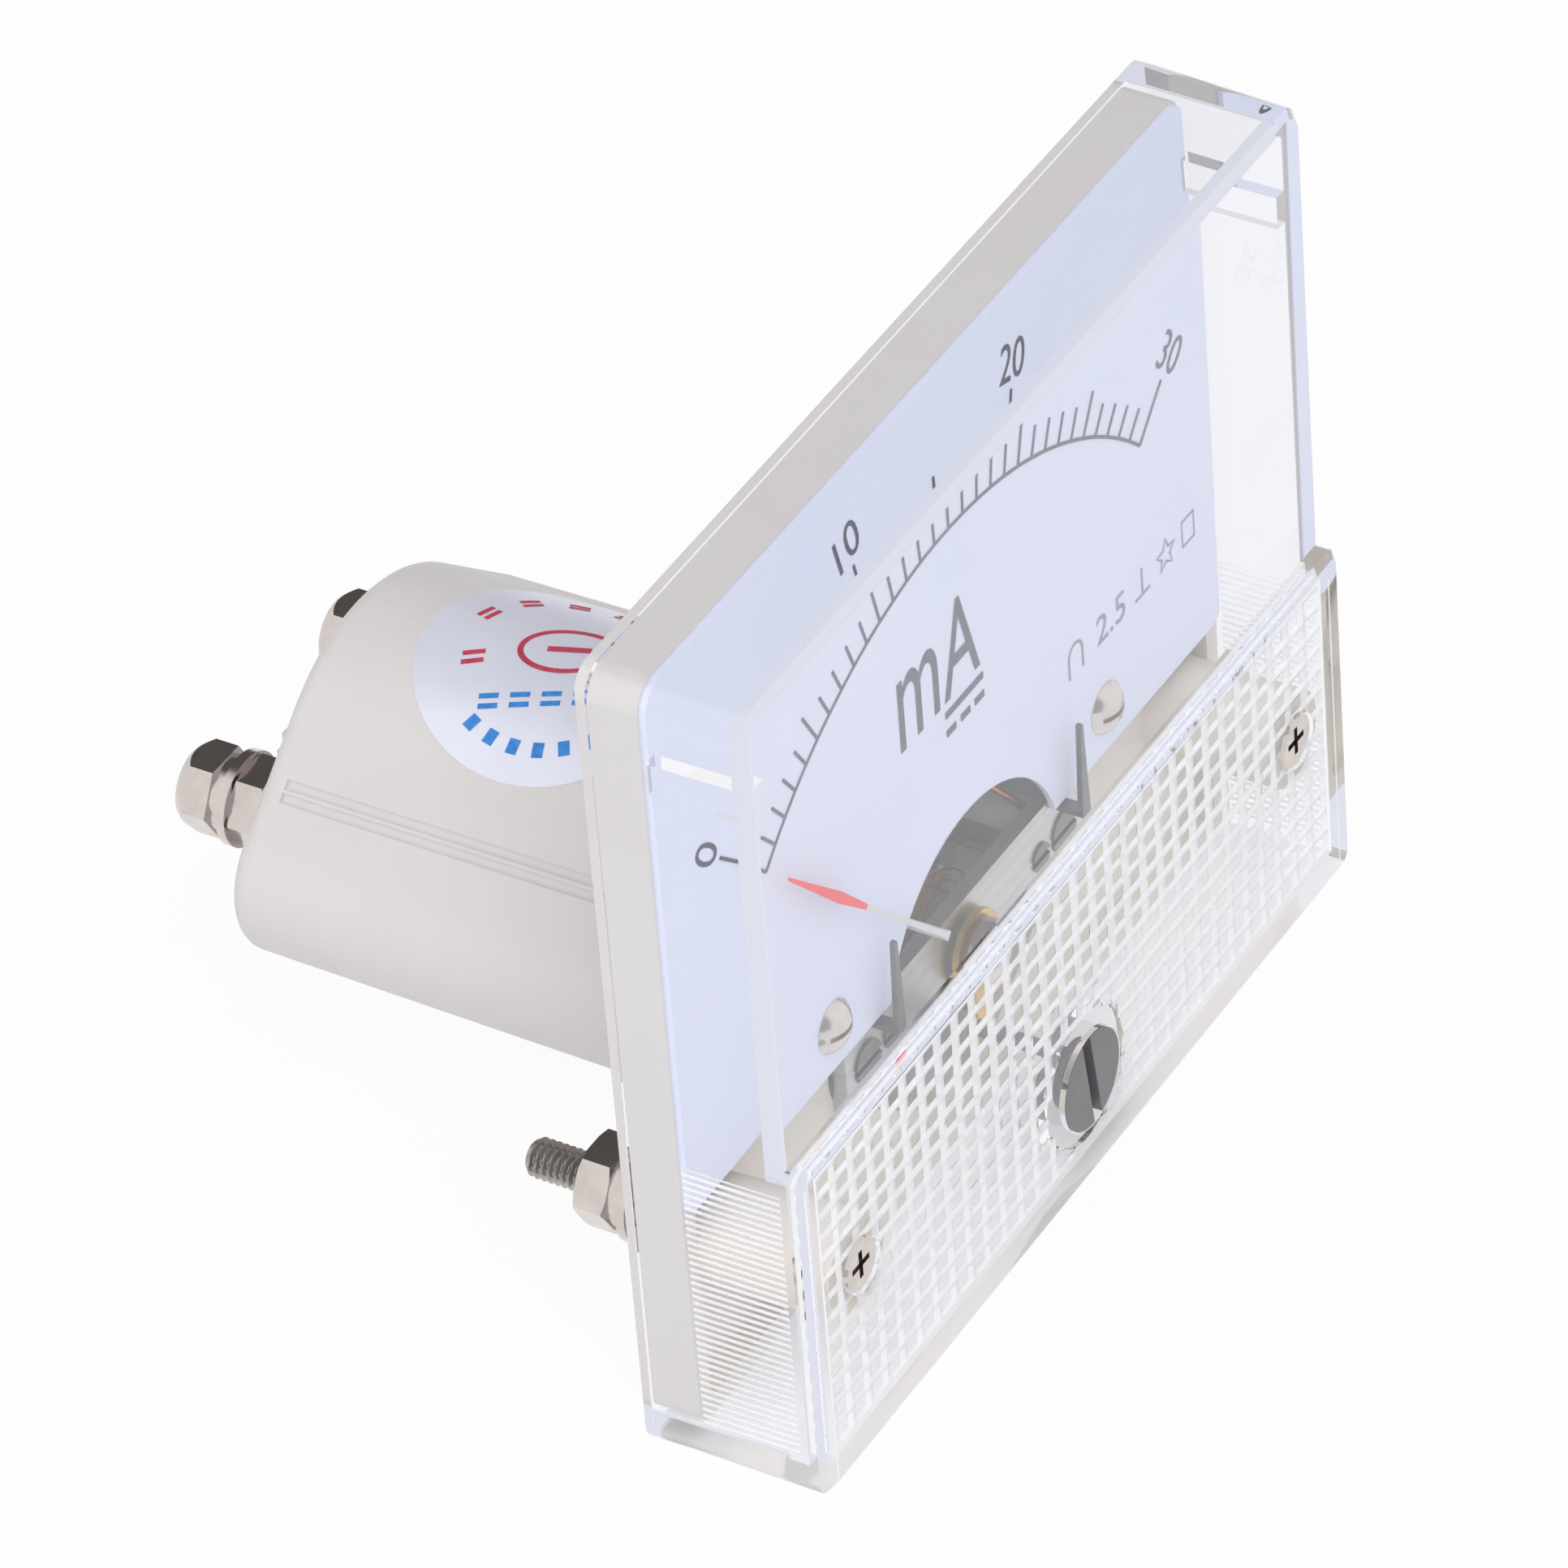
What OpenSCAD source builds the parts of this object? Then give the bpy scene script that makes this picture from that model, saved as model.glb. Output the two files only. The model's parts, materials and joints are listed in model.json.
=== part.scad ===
// Analog panel meter, moving coil, 30 mA direct current.
// X runs to the right of the reader, Y into the panel and Z up.
// The origin is the centre of the bezel, on the face that meets the panel.

/* [Face] */
// width of the clear cover where it meets the panel
face_w = 64; // [62:0.5:70]
// height of the clear cover where it meets the panel
face_h = 56; // [55:0.5:62]
// distance from the panel to the front of the window
window_y = 10.4; // [10:0.1:13]
// how far the lower band stands in front of the window
band_step = 1.3; // [0.8:0.1:1.8]
// height of the lower band
band_h = 24; // [23:0.5:25]
// thickness of the clear plastic
cover_wall = 1.5; // [1.3:0.1:1.7]
// how much narrower each side of the cover is at the front
cover_draft = 0.25; // [0.1:0.05:0.4]
// radius of the upright corners of the cover
corner_r = 1.5; // [1:0.1:2]

/* [Barrel] */
// radius of the round middle of the rear barrel
barrel_r = 12.65; // [12.4:0.05:13]
// radius of each side lobe of the rear barrel
lobe_r = 5.6; // [5.5:0.1:6]
// distance of each side lobe from the middle
lobe_x = 11; // [10.8:0.1:11.4]
// length of the barrel behind the panel
barrel_l = 36.8; // [36:0.2:44]
// thickness of the barrel wall
barrel_wall = 1.8; // [1.6:0.1:1.9]
// how much the barrel radius shrinks towards the rear
barrel_draft = 0.45; // [0.2:0.05:0.6]

/* [Movement] */
// height of the needle axis above the bottom of the cover
axis_rise = 14.5; // [14.2:0.1:14.8]
// length of the needle from its axis
needle_l = 30; // [27:0.5:30.5]
// radius of the scale line
scale_r = 30.4; // [29.5:0.1:31]
// angle between the zero mark and the full scale mark
sweep = 90; // [80:1:90]
// number of divisions of the scale
divisions = 30; // [10:5:60]
// length of the core magnet and of the yoke
core_l = 10; // [9:0.5:12]

/* [Fixings] */
// distance of each mounting stud from the side of the cover
stud_inset = 6; // [5.8:0.1:6.5]
// height of the mounting studs above the bottom of the cover
stud_rise = 13.4; // [13:0.1:14]
// radius of the mounting studs
stud_r = 1.25; // [1.2:0.05:1.5]
// length of the mounting studs behind the bezel
stud_l = 10; // [8:0.5:16]
// space for the panel between the bezel and the stud washers
panel_gap = 2.2; // [2.1:0.1:3]
// distance of each terminal from the middle
terminal_x = 8; // [7.6:0.1:8.2]
// height of the terminals above the needle axis
terminal_rise = 1.3; // [0.5:0.1:1.5]
// width across the flats of the bolt heads and the nuts
hex_flats = 5; // [4.8:0.1:5.4]
// height of the zero adjuster above the bottom of the cover
adjuster_rise = 7.1; // [6.8:0.1:7.4]
// radius of the visible disc of the zero adjuster
adjuster_r = 3.2; // [3:0.1:3.4]

/* [Hidden] */
$fn = 64;

// small distances that keep neighbouring pieces apart
gap = 0.3;
running_gap = 0.05;
eps = 0.01;

// colours
clear_colour = [0.90, 0.93, 0.97, 0.35];
cream_colour = [0.86, 0.84, 0.80];
dial_colour = [0.82, 0.87, 0.97];
ink_colour = [0.20, 0.21, 0.24];
nickel_colour = [0.74, 0.73, 0.71];
steel_colour = [0.62, 0.64, 0.66];
iron_colour = [0.45, 0.46, 0.48];
brass_colour = [0.80, 0.65, 0.30];
copper_colour = [0.78, 0.45, 0.25];
aluminium_colour = [0.82, 0.83, 0.84];
ruby_colour = [0.85, 0.30, 0.45];
grey_colour = [0.42, 0.42, 0.43];
red_colour = [0.85, 0.30, 0.28];
label_colour = [0.88, 0.89, 0.95];

// places tied to the cover
bottom_z = -face_h / 2;
axis_z = bottom_z + axis_rise;
band_top = bottom_z + band_h;
stud_x = face_w / 2 - stud_inset;
stud_z = bottom_z + stud_rise;
adjuster_z = bottom_z + adjuster_rise;
terminal_z = axis_z + terminal_rise;

// cover
band_y = window_y + band_step;
edge_round = 0.4;
front_w = face_w - 2 * cover_draft;
front_h = face_h - 2 * cover_draft;
cavity_w = front_w - 2 * cover_wall;
cavity_h = front_h - 2 * cover_wall;
rib_h = 2.2;
rib_top = face_h / 2 - 5.8;
rib_reach = 0.9;

// base
flange_w = cavity_w - 0.3;
flange_h = cavity_h - 0.3;
floor_y = -1.8;
rim_y = -3.1;
rim_wall = 1.3;
barrel_end = barrel_l - 2.2;
rim_round = 1.2;
groove_at = 3.6;
groove_r = 0.35;
groove_lift = 0.12;
label_r = 9.2;
label_y = 0.6 * barrel_l;
label_t = 0.09;
label_gap = 0.01;
cavity_r = barrel_r - barrel_draft - barrel_wall;
cavity_lobe_r = lobe_r - barrel_draft - barrel_wall;
boss_r = 3.1;
boss_y = -band_y + cover_wall;
boss_bottom = -4;
screw_bore = 1.05;
screw_head_r = 1.7;
screw_head_y = -band_y + 0.2;
screw_seat_y = screw_head_y + 0.7;
cross_w = 1.9;
cross_depth = 0.6;

// dial
dial_t = 0.4;
dial_y = rim_y - dial_t;
dial_w = flange_w - 0.4;
dial_top = flange_h / 2 - 0.2;
dial_bottom = axis_z + 3.1;
arch_r = cavity_r - 0.2;
dial_head_r = 1.7;
dial_head_t = 1;
dial_dome_r = 2;
dial_screw_x = 16;
dial_screw_z = axis_z + 6.2;
print_t = 0.06;
tick_major = 4;
tick_middle = 2.8;
tick_minor = 2;
line_w = 0.2;

// unit sign of the scale
sign_x = 0.45;
sign_z = axis_z + 0.6 * scale_r;
sign_w = 4.3;
sign_h = 0.45;
dash_w = 1.05;
dash_drop = 1.3;

// movement, along Y
bridge_t = 1;
bridge_y = floor_y - bridge_t;
bridge_half_w = 14;
bridge_half_h = 3.3;
bridge_back = bridge_y + bridge_t;
yoke_y = 3.5;
yoke_out = cavity_r - 0.7;
yoke_in = yoke_out - 1.8;
core_r = yoke_in - 2.6;
yoke_back = yoke_y + core_l;
rear_bridge_y = yoke_back + 4;
rear_half_h = 2.5;
former_in = core_r + 0.7;
former_out = former_in + 1.1;
former_half = 1.3;
former_front = yoke_y - 1.9;
former_back = yoke_back + 1.9;
former_end = 1.1;
coil_t = 0.35;
coil_half = 1;
coil_front = former_front - coil_t;
coil_back = former_back + coil_t;
post_x = lobe_x + 0.6;
post_r = 1.5;
post_head_r = 1.4;
pillar_r = 0.85;
pillar_head_r = 0.95;
plate_head_y = bridge_y - 0.15;
plate_seat_y = bridge_y + 0.45;
pillar_x = (yoke_in + yoke_out) / 2;
screw_core = 0.8;

// pivots and jewels
jewel_screw_r = 1.2;
front_nut_r = 2;
rear_nut_r = 1.9;
front_jewel_y = -1.2;
rear_jewel_y = rear_bridge_y - 0.6;
jewel_r = 0.7;
jewel_t = 0.4;
spindle_r = 0.45;
collet_r = 0.8;
hub_y = 0.1;
hub_t = 0.4;
hub_r = 1.6;
spring_turns = 5;
front_spring_out = 4.2;
rear_spring_out = 3.5;
spring_t = 0.09;
spring_h = 0.3;
balance_bore = 0.2;
side_weight_at = 2.9;
side_weight_r = 0.5;
side_weight_l = 1.2;
tail_weight_at = 5.4;
tail_weight_r = 0.7;
tail_weight_l = 1.9;
front_spring_y = -0.85;
rear_spring_y = coil_back + 0.4;

// needle
rest_angle = sweep / 2;
riser_r = former_out + 0.5;
blade_y = -4.9;
blade_t = 0.2;
blade_w = 0.7;
stem_w = 0.36;
tip_w = 0.2;
lance_r = needle_l - 10.5;
lance_l = 3.5;
arm_w = 0.6;
arm_t = 0.3;
stop_x = 10.9;
stop_top = axis_z + 9;
stop_foot = axis_z + bridge_half_h - 0.9;
stop_w = 0.9;
stop_t = 0.35;
stop_tip_w = 0.3;

// zero adjuster and its fork
pin_offset = 1.2;
pin_r = 0.5;
pin_z = adjuster_z + pin_offset;
fork_y = bridge_y - 0.4 - 0.4;
fork_t = 0.4;
fork_slot = pin_r + 0.12;
fork_end = axis_z - adjuster_z + 0.5;
shaft_r = 2;
sink = 1.1;
cover_boss_y = -band_y + cover_wall + 1;

// hardware
washer_r = 3;
washer_t = 0.6;
nut_t = 2.1;
split_t = 0.9;
head_t = 2.3;
washer_gap = 0.03;
nut_edge = hex_flats / 2 + 0.05;
thread_r = stud_r - 0.05;
collar_r = washer_r - 0.7;
collar_y = rim_y + 0.1;
stud_split_y = panel_gap + washer_t;
stud_nut_y = stud_split_y + split_t;
terminal_nut_y = barrel_l + 2 * washer_t + washer_gap;
terminal_washer_y = terminal_nut_y + nut_t;
terminal_split_y = terminal_washer_y + washer_t;
terminal_head_y = terminal_split_y + split_t;
insert_r = 2.4;
insert_front = barrel_l - 9.8;
tag_t = 0.5;
tag_w = 1.8;
tag_l = 2.2;
wire_r = 0.25;
wire_lean = 52.5;
shunt_r = 1.7;
shunt_l = 9.1;
shunt_wire_r = 0.35;

// ---------- helpers ----------

// a flat shape pushed out between two depths
module slab(front, back) {
    translate([0, back, 0])
        rotate([90, 0, 0])
            linear_extrude(back - front)
                children();
}

// a round bar along Y
module rod(x, z, r, front, back) {
    translate([x, back, z])
        rotate([90, 0, 0])
            cylinder(r = r, h = back - front);
}

// a ring along Y
module tube(x, z, outer, inner, front, back) {
    difference() {
        rod(x, z, outer, front, back);
        rod(x, z, inner, front - 1, back + 1);
    }
}

// a rectangle with round corners
module round_rect(w, h, r) {
    square([w - 2 * r, h], center = true);
    square([w, h - 2 * r], center = true);
    for (sx = [-1, 1], sz = [-1, 1])
        translate([sx * (w / 2 - r), sz * (h / 2 - r)])
            circle(r = r, $fn = 32);
}

// a six sided bar along Y with an optional bore
module hex_bar(x, z, front, back, bore) {
    difference() {
        translate([x, back, z])
            rotate([90, 0, 0])
                cylinder(r = hex_flats / 2 / cos(30), h = back - front, $fn = 6);
        if (bore > 0)
            rod(x, z, bore, front - 1, back + 1);
    }
}

// a nut along Y, chamfered on both sides
module hex_nut(x, z, front, bore) {
    intersection() {
        hex_bar(x, z, front, front + nut_t, bore);
        for (flip = [0, 1])
            translate([x, front + nut_t / 2, z])
                rotate([flip == 0 ? 90 : -90, 0, 0])
                    cylinder(r1 = nut_edge + nut_t, r2 = nut_edge, h = nut_t / 2 + eps);
    }
}

// turns children about the needle axis, clockwise for the reader
module turned(angle) {
    translate([0, 0, axis_z])
        rotate([0, angle, 0])
            translate([0, 0, -axis_z])
                children();
}

// copies of the children on both sides of the middle
module both_sides(x) {
    for (side = [-1, 1])
        translate([side * x, 0, 0])
            children();
}

// ---------- housing ----------

// outline of the barrel cavity: a circle with a lobe on each side
module lobed_outline(main_r, side_r) {
    lean = acos((main_r - side_r) / lobe_x);
    circle(r = main_r);
    for (side = [-1, 1])
        translate([side * lobe_x, 0])
            circle(r = side_r);
    polygon([
        for (side = [1, -1], end = [1, -1], part = [0, 1])
            let (flip = (part == (side * end > 0 ? 0 : 1)))
                flip
                ? [side * main_r * cos(lean), end * main_r * sin(lean)]
                : [side * (lobe_x + side_r * cos(lean)), end * side_r * sin(lean)]
    ]);
}

// one round of the barrel, tapered and with a rounded rear edge
module barrel_round(x, r, grow) {
    steps = 5;
    rear_r = r - barrel_draft + grow;
    translate([x, 0, axis_z])
        rotate([-90, 0, 0])
            rotate_extrude($fn = 96)
                polygon(concat(
                    [[0, floor_y], [r + grow, floor_y]],
                    [for (i = [0:steps])
                        let (a = 90 * i / steps)
                            [rear_r - rim_round + rim_round * cos(a),
                             barrel_l + grow - rim_round + rim_round * sin(a)]],
                    [[0, barrel_l + grow]]
                ));
}

// outside of the barrel, grown by a distance for the label that lies on it
module barrel_body(grow) {
    hull() {
        barrel_round(0, barrel_r, grow);
        barrel_round(-lobe_x, lobe_r, grow);
        barrel_round(lobe_x, lobe_r, grow);
    }
}

// a point above the upper flank of the barrel, at a distance from the edge of the lobe
function flank_point(side, along, lift, y) =
    let (lean = acos((barrel_r - lobe_r) / lobe_x),
         reach = lobe_r - barrel_draft * y / barrel_l + lift)
        [side * (lobe_x + reach * cos(lean) - along * sin(lean)),
         y,
         axis_z + reach * sin(lean) + along * cos(lean)];

// two shallow grooves along each upper flank of the barrel, with a fine ridge between them
module flank_grooves() {
    for (side = [-1, 1], along = [groove_at - 1.2 * groove_r, groove_at + 1.2 * groove_r])
        wire([
            flank_point(side, along, groove_lift, 0.3),
            flank_point(side, along, groove_lift, barrel_l - rim_round - 0.5)
        ], groove_r);
}

// cream moulding: flange with a rim, barrel, bosses and posts
module base_housing() {
    color(cream_colour)
        difference() {
            union() {
                slab(floor_y, 0)
                    round_rect(flange_w, flange_h, 1);
                slab(rim_y, floor_y + eps)
                    difference() {
                        round_rect(flange_w, flange_h, 1);
                        round_rect(flange_w - 2 * rim_wall, flange_h - 2 * rim_wall, 0.5);
                    }
                barrel_body(0);
                both_sides(dial_screw_x)
                    rod(0, dial_screw_z, 2.4, rim_y, floor_y + eps);
                both_sides(stud_x)
                    rod(0, stud_z, boss_r, boss_y, floor_y + eps);
            }
            translate([0, 0, axis_z])
                difference() {
                    slab(floor_y - 1, barrel_end)
                        lobed_outline(cavity_r, cavity_lobe_r);
                    both_sides(post_x)
                        rod(0, 0, post_r, bridge_back, barrel_l);
                }
            flank_grooves();
            both_sides(post_x)
                rod(0, axis_z, screw_core, bridge_back - 1, bridge_back + 8);
            both_sides(terminal_x)
                rod(0, terminal_z, insert_r, insert_front - 1, barrel_l + 1);
            both_sides(dial_screw_x)
                rod(0, dial_screw_z, screw_core, rim_y - 1, floor_y + 1);
            both_sides(stud_x) {
                rod(0, stud_z, collar_r, collar_y, 1);
                rod(0, stud_z, screw_core, boss_y - 1, boss_bottom);
            }
        }
}

// clear moulding: window, side walls and the thicker lower band
module front_cover() {
    color(clear_colour)
        difference() {
            union() {
                hull() {
                    slab(-1, 0)
                        round_rect(face_w, face_h, corner_r);
                    slab(-window_y + edge_round, -window_y + edge_round + eps)
                        round_rect(front_w, front_h, corner_r);
                    slab(-window_y, -window_y + eps)
                        round_rect(front_w - 2 * edge_round, front_h - 2 * edge_round, corner_r);
                }
                band_block();
            }
            difference() {
                slab(-window_y + cover_wall, 1)
                    round_rect(cavity_w, cavity_h, 0.6);
                both_sides(cavity_w / 2 - rib_reach / 2 + eps)
                    translate([0, -window_y / 2 - 1.2, rib_top - rib_h / 2])
                        cube([rib_reach, window_y - 4.6, rib_h], center = true);
                cover_boss();
            }
            difference() {
                slab(-band_y + cover_wall, -window_y + cover_wall + eps)
                    translate([0, (band_top - cover_wall - cavity_h / 2) / 2])
                        square([cavity_w, cavity_h / 2 + band_top - cover_wall], center = true);
                cover_boss();
            }
            rod(0, adjuster_z, adjuster_r + 0.1, -band_y - 1, -band_y + sink);
            rod(0, adjuster_z, shaft_r + running_gap, -band_y - 1, 0);
            both_sides(stud_x) {
                rod(0, stud_z, screw_bore, -band_y - 1, 0);
                rod(0, stud_z, screw_head_r + 0.1, -band_y - 1, screw_seat_y);
            }
        }
}

// outside of the lower band, in front of the window
module band_block() {
    top = band_top;
    bottom = -front_h / 2;
    middle = (top + bottom) / 2;
    hull() {
        slab(-window_y + eps, -1)
            translate([0, middle])
                round_rect(front_w, top - bottom, corner_r / 2);
        slab(-band_y + edge_round, -band_y + edge_round + eps)
            translate([0, middle])
                round_rect(front_w, top - bottom, corner_r / 2);
        slab(-band_y, -band_y + eps)
            translate([0, middle])
                round_rect(front_w - 2 * edge_round, top - bottom - 2 * edge_round, corner_r / 2);
    }
}

// clear boss behind the band, in which the adjuster turns
module cover_boss() {
    rod(0, adjuster_z, adjuster_r + 1.3, -band_y, cover_boss_y);
}

// printed metal sheet with an arch around the movement
module dial_plate() {
    color(dial_colour)
        slab(dial_y, rim_y)
            difference() {
                translate([0, (dial_top + dial_bottom) / 2])
                    round_rect(dial_w, dial_top - dial_bottom, 0.8);
                translate([0, axis_z])
                    circle(r = arch_r);
                for (side = [-1, 1])
                    translate([side * dial_screw_x, dial_screw_z])
                        circle(r = 1);
            }
}

// printed scale: the line, its divisions and the direct current sign
module scale_print() {
    color(ink_colour) {
        slab(dial_y - print_t, dial_y)
            translate([0, axis_z]) {
                intersection() {
                    difference() {
                        circle(r = scale_r + line_w, $fn = 240);
                        circle(r = scale_r, $fn = 240);
                    }
                    polygon([
                        [0, 0],
                        [-40 * tan(rest_angle), 40],
                        [40 * tan(rest_angle), 40]
                    ]);
                }
                for (i = [0:divisions])
                    rotate(rest_angle - sweep * i / divisions)
                        translate([-line_w / 2, scale_r + line_w / 2])
                            square([line_w, tick_length(i)]);
            }
        direct_current_sign();
    }
}

// long divisions every ten, middle ones every five
function tick_length(i) =
    i % 10 == 0 ? tick_major : i % 5 == 0 ? tick_middle : tick_minor;

// a full bar over a broken one
module direct_current_sign() {
    translate([sign_x - sign_w / 2, dial_y - print_t, sign_z - sign_h / 2])
        cube([sign_w, print_t, sign_h]);
    for (i = [0:2])
        translate([
            sign_x - sign_w / 2 + i * (sign_w - dash_w) / 2,
            dial_y - print_t,
            sign_z - dash_drop - sign_h / 2
        ])
            cube([dash_w, print_t, sign_h]);
}

// two dome head screws that hold the dial
module dial_screws() {
    color(nickel_colour)
        both_sides(dial_screw_x)
            difference() {
                union() {
                    intersection() {
                        rod(0, dial_screw_z, dial_head_r, dial_y - dial_head_t, dial_y);
                        translate([0, dial_y - dial_head_t + dial_dome_r, dial_screw_z])
                            sphere(r = dial_dome_r);
                    }
                    rod(0, dial_screw_z, screw_core, dial_y - eps, floor_y + 1);
                }
                translate([0, dial_y - dial_head_t, dial_screw_z])
                    cube([3 * dial_head_r, 0.9, 0.35], center = true);
            }
}

// two cross slot screws that hold the cover
module cover_screws() {
    color(nickel_colour)
        both_sides(stud_x)
            difference() {
                union() {
                    rod(0, stud_z, screw_head_r, screw_head_y, screw_seat_y);
                    rod(0, stud_z, screw_core, screw_seat_y - eps, boss_bottom);
                }
                for (turn = [0, 90])
                    translate([0, screw_head_y, stud_z])
                        rotate([0, turn, 0])
                            cube([cross_w, 2 * cross_depth, 0.4], center = true);
            }
}

// ---------- studs and terminals ----------

// two studs moulded into the flange: a collar, a plain shank and a threaded end
module mounting_studs() {
    color(nickel_colour)
        both_sides(stud_x) {
            rod(0, stud_z, collar_r, collar_y, 0);
            rod(0, stud_z, stud_r, -eps, panel_gap);
            rod(0, stud_z, thread_r, panel_gap - eps, stud_l);
        }
}

// flat washers that bear on the back of the panel
module stud_washers() {
    color(nickel_colour)
        both_sides(stud_x)
            tube(0, stud_z, washer_r, stud_r + 0.1, panel_gap, stud_split_y);
}

// a split ring
module split_washer(x, z, front, back) {
    difference() {
        tube(x, z, hex_flats / 2 - 0.1, stud_r + 0.1, front, back);
        translate([x + hex_flats / 2, (front + back) / 2, z])
            cube([hex_flats, back - front + 1, 0.35], center = true);
    }
}

// split washers under the stud nuts
module stud_spring_washers() {
    color(nickel_colour)
        both_sides(stud_x)
            split_washer(0, stud_z, stud_split_y, stud_nut_y);
}

// hexagon nuts of the mounting studs
module stud_nuts() {
    color(nickel_colour)
        both_sides(stud_x)
            hex_nut(0, stud_z, stud_nut_y, thread_r);
}

// brass bushes in the rear wall that take the terminal bolts
module terminal_inserts() {
    color(brass_colour)
        both_sides(terminal_x)
            tube(0, terminal_z, insert_r, stud_r, insert_front, barrel_l);
}

// two flat washers on each terminal, and one under the split washer
module terminal_washers() {
    color(nickel_colour)
        both_sides(terminal_x)
            for (y = [barrel_l, barrel_l + washer_t + washer_gap, terminal_washer_y])
                tube(0, terminal_z, washer_r, stud_r + 0.1, y, y + washer_t);
}

// hexagon nuts of the terminals
module terminal_nuts() {
    color(nickel_colour)
        both_sides(terminal_x)
            hex_nut(0, terminal_z, terminal_nut_y, stud_r);
}

// split washers under the bolt heads
module terminal_spring_washers() {
    color(nickel_colour)
        both_sides(terminal_x)
            split_washer(0, terminal_z, terminal_split_y, terminal_split_y + split_t);
}

// hexagon head bolts
module terminal_bolts() {
    color(nickel_colour)
        both_sides(terminal_x)
            union() {
                rod(0, terminal_z, stud_r, insert_front + 3, terminal_head_y + eps);
                intersection() {
                    hex_bar(0, terminal_z, terminal_head_y, terminal_head_y + head_t, 0);
                    translate([0, terminal_head_y, terminal_z])
                        rotate([-90, 0, 0])
                            cylinder(r1 = hex_flats * 0.8, r2 = hex_flats * 0.47, h = head_t);
                }
            }
}

// brass tags on the inner ends of the bushes
module solder_tags() {
    tag_y = insert_front - tag_t;
    color(brass_colour)
        both_sides(terminal_x)
            union() {
                tube(0, terminal_z, insert_r, stud_r, tag_y, insert_front);
                translate([-tag_w / 2, tag_y, terminal_z + insert_r - 0.4])
                    cube([tag_w, tag_t, tag_l + 0.4]);
            }
}

// a wire that follows a list of points, each leg running a little past its bends
module wire(points, r) {
    for (i = [0:len(points) - 2]) {
        leg = points[i + 1] - points[i];
        start = i == 0 ? 0 : 0.8 * r;
        past = i == len(points) - 2 ? 0 : 0.8 * r;
        translate(points[i])
            rotate([0, acos(leg[2] / norm(leg)), atan2(leg[1], leg[0])])
                translate([0, 0, -start])
                    cylinder(r = r, h = norm(leg) + start + past, $fn = 24);
    }
}

// enamelled wires from the tags to the two hairsprings
module lead_wires() {
    start_y = insert_front - tag_t - wire_r - 0.05;
    start_z = terminal_z + insert_r + tag_l - 0.6;
    side_r = (yoke_out + cavity_r) / 2;
    side_x = side_r * cos(wire_lean);
    side_z = axis_z + side_r * sin(wire_lean);
    color(copper_colour) {
        wire([
            [-terminal_x, start_y, start_z],
            [-terminal_x + 3, start_y - 4, start_z],
            [-3, rear_bridge_y + bridge_t + wire_r, axis_z + 1.4]
        ], wire_r);
        wire([
            [terminal_x, start_y, start_z],
            [terminal_x, start_y - 6, start_z],
            [side_x, yoke_back + 1, side_z],
            [side_x, yoke_y - 1.5, side_z],
            [post_x - 1.8, bridge_back + wire_r, axis_z + 2.4]
        ], wire_r);
    }
}

// wire wound shunt, hung by its leads between the two tags
module shunt_resistor() {
    shunt_y = insert_front - 2 * shunt_r;
    shunt_z = terminal_z - insert_r - 1.8 * shunt_r;
    lead_z = terminal_z - (insert_r + stud_r) / 2;
    turns = 13;
    pitch = shunt_l / turns;
    color(copper_colour) {
        translate([0, shunt_y, shunt_z])
            rotate([0, 90, 0])
                for (i = [0:turns - 1])
                    translate([0, 0, (i - (turns - 1) / 2) * pitch])
                        cylinder(r = shunt_r - 0.2 * (i % 2), h = pitch + eps, center = true);
        for (side = [-1, 1])
            wire([
                [side * (shunt_l / 2 - 0.2), shunt_y, shunt_z],
                [side * terminal_x, shunt_y, shunt_z],
                [side * terminal_x, shunt_y + 1, lead_z],
                [side * terminal_x, insert_front - tag_t, lead_z]
            ], shunt_wire_r);
    }
}

// round paper sticker on top of the barrel
module round_label() {
    color(label_colour)
        intersection() {
            difference() {
                barrel_body(label_t);
                barrel_body(label_gap);
            }
            translate([0, label_y, axis_z])
                cylinder(r = label_r, h = 2 * barrel_r);
        }
}

// ---------- fixed part of the movement ----------

// long front plate that carries the movement
module front_bridge() {
    color(steel_colour)
        difference() {
            slab(bridge_y, bridge_back)
                translate([0, axis_z])
                    round_rect(2 * bridge_half_w, 2 * bridge_half_h, 1.2);
            rod(0, axis_z, jewel_screw_r, bridge_y - 1, bridge_back + 1);
            both_sides(post_x) {
                rod(0, axis_z, 0.9, bridge_y - 1, bridge_back + 1);
                rod(0, axis_z, post_head_r, bridge_y - 1, plate_seat_y);
            }
            both_sides(pillar_x) {
                rod(0, axis_z, 0.6, bridge_y - 1, bridge_back + 1);
                rod(0, axis_z, pillar_head_r, bridge_y - 1, plate_seat_y);
            }
        }
}

// slotted screw along Y whose head faces the reader and stands a little proud of the plate
module small_screw(z, head_r, head_y, seat_y, shank_r, tip_y) {
    difference() {
        union() {
            rod(0, z, head_r, head_y, seat_y);
            rod(0, z, shank_r, seat_y - eps, tip_y);
        }
        translate([0, head_y, z])
            cube([2 * head_r + 1, 0.5, 0.35], center = true);
    }
}

// screws that hold the front plate to the posts and pillars
module bridge_screws() {
    color(steel_colour) {
        both_sides(post_x)
            small_screw(axis_z, post_head_r, plate_head_y, plate_seat_y, screw_core, bridge_back + 6);
        both_sides(pillar_x)
            small_screw(axis_z, pillar_head_r, plate_head_y, plate_seat_y, 0.5, bridge_back + 2);
    }
}

// short pillars between the front plate and the yoke
module bridge_pillars() {
    color(brass_colour)
        both_sides(pillar_x)
            tube(0, axis_z, pillar_r, 0.5, bridge_back, yoke_y);
}

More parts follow.
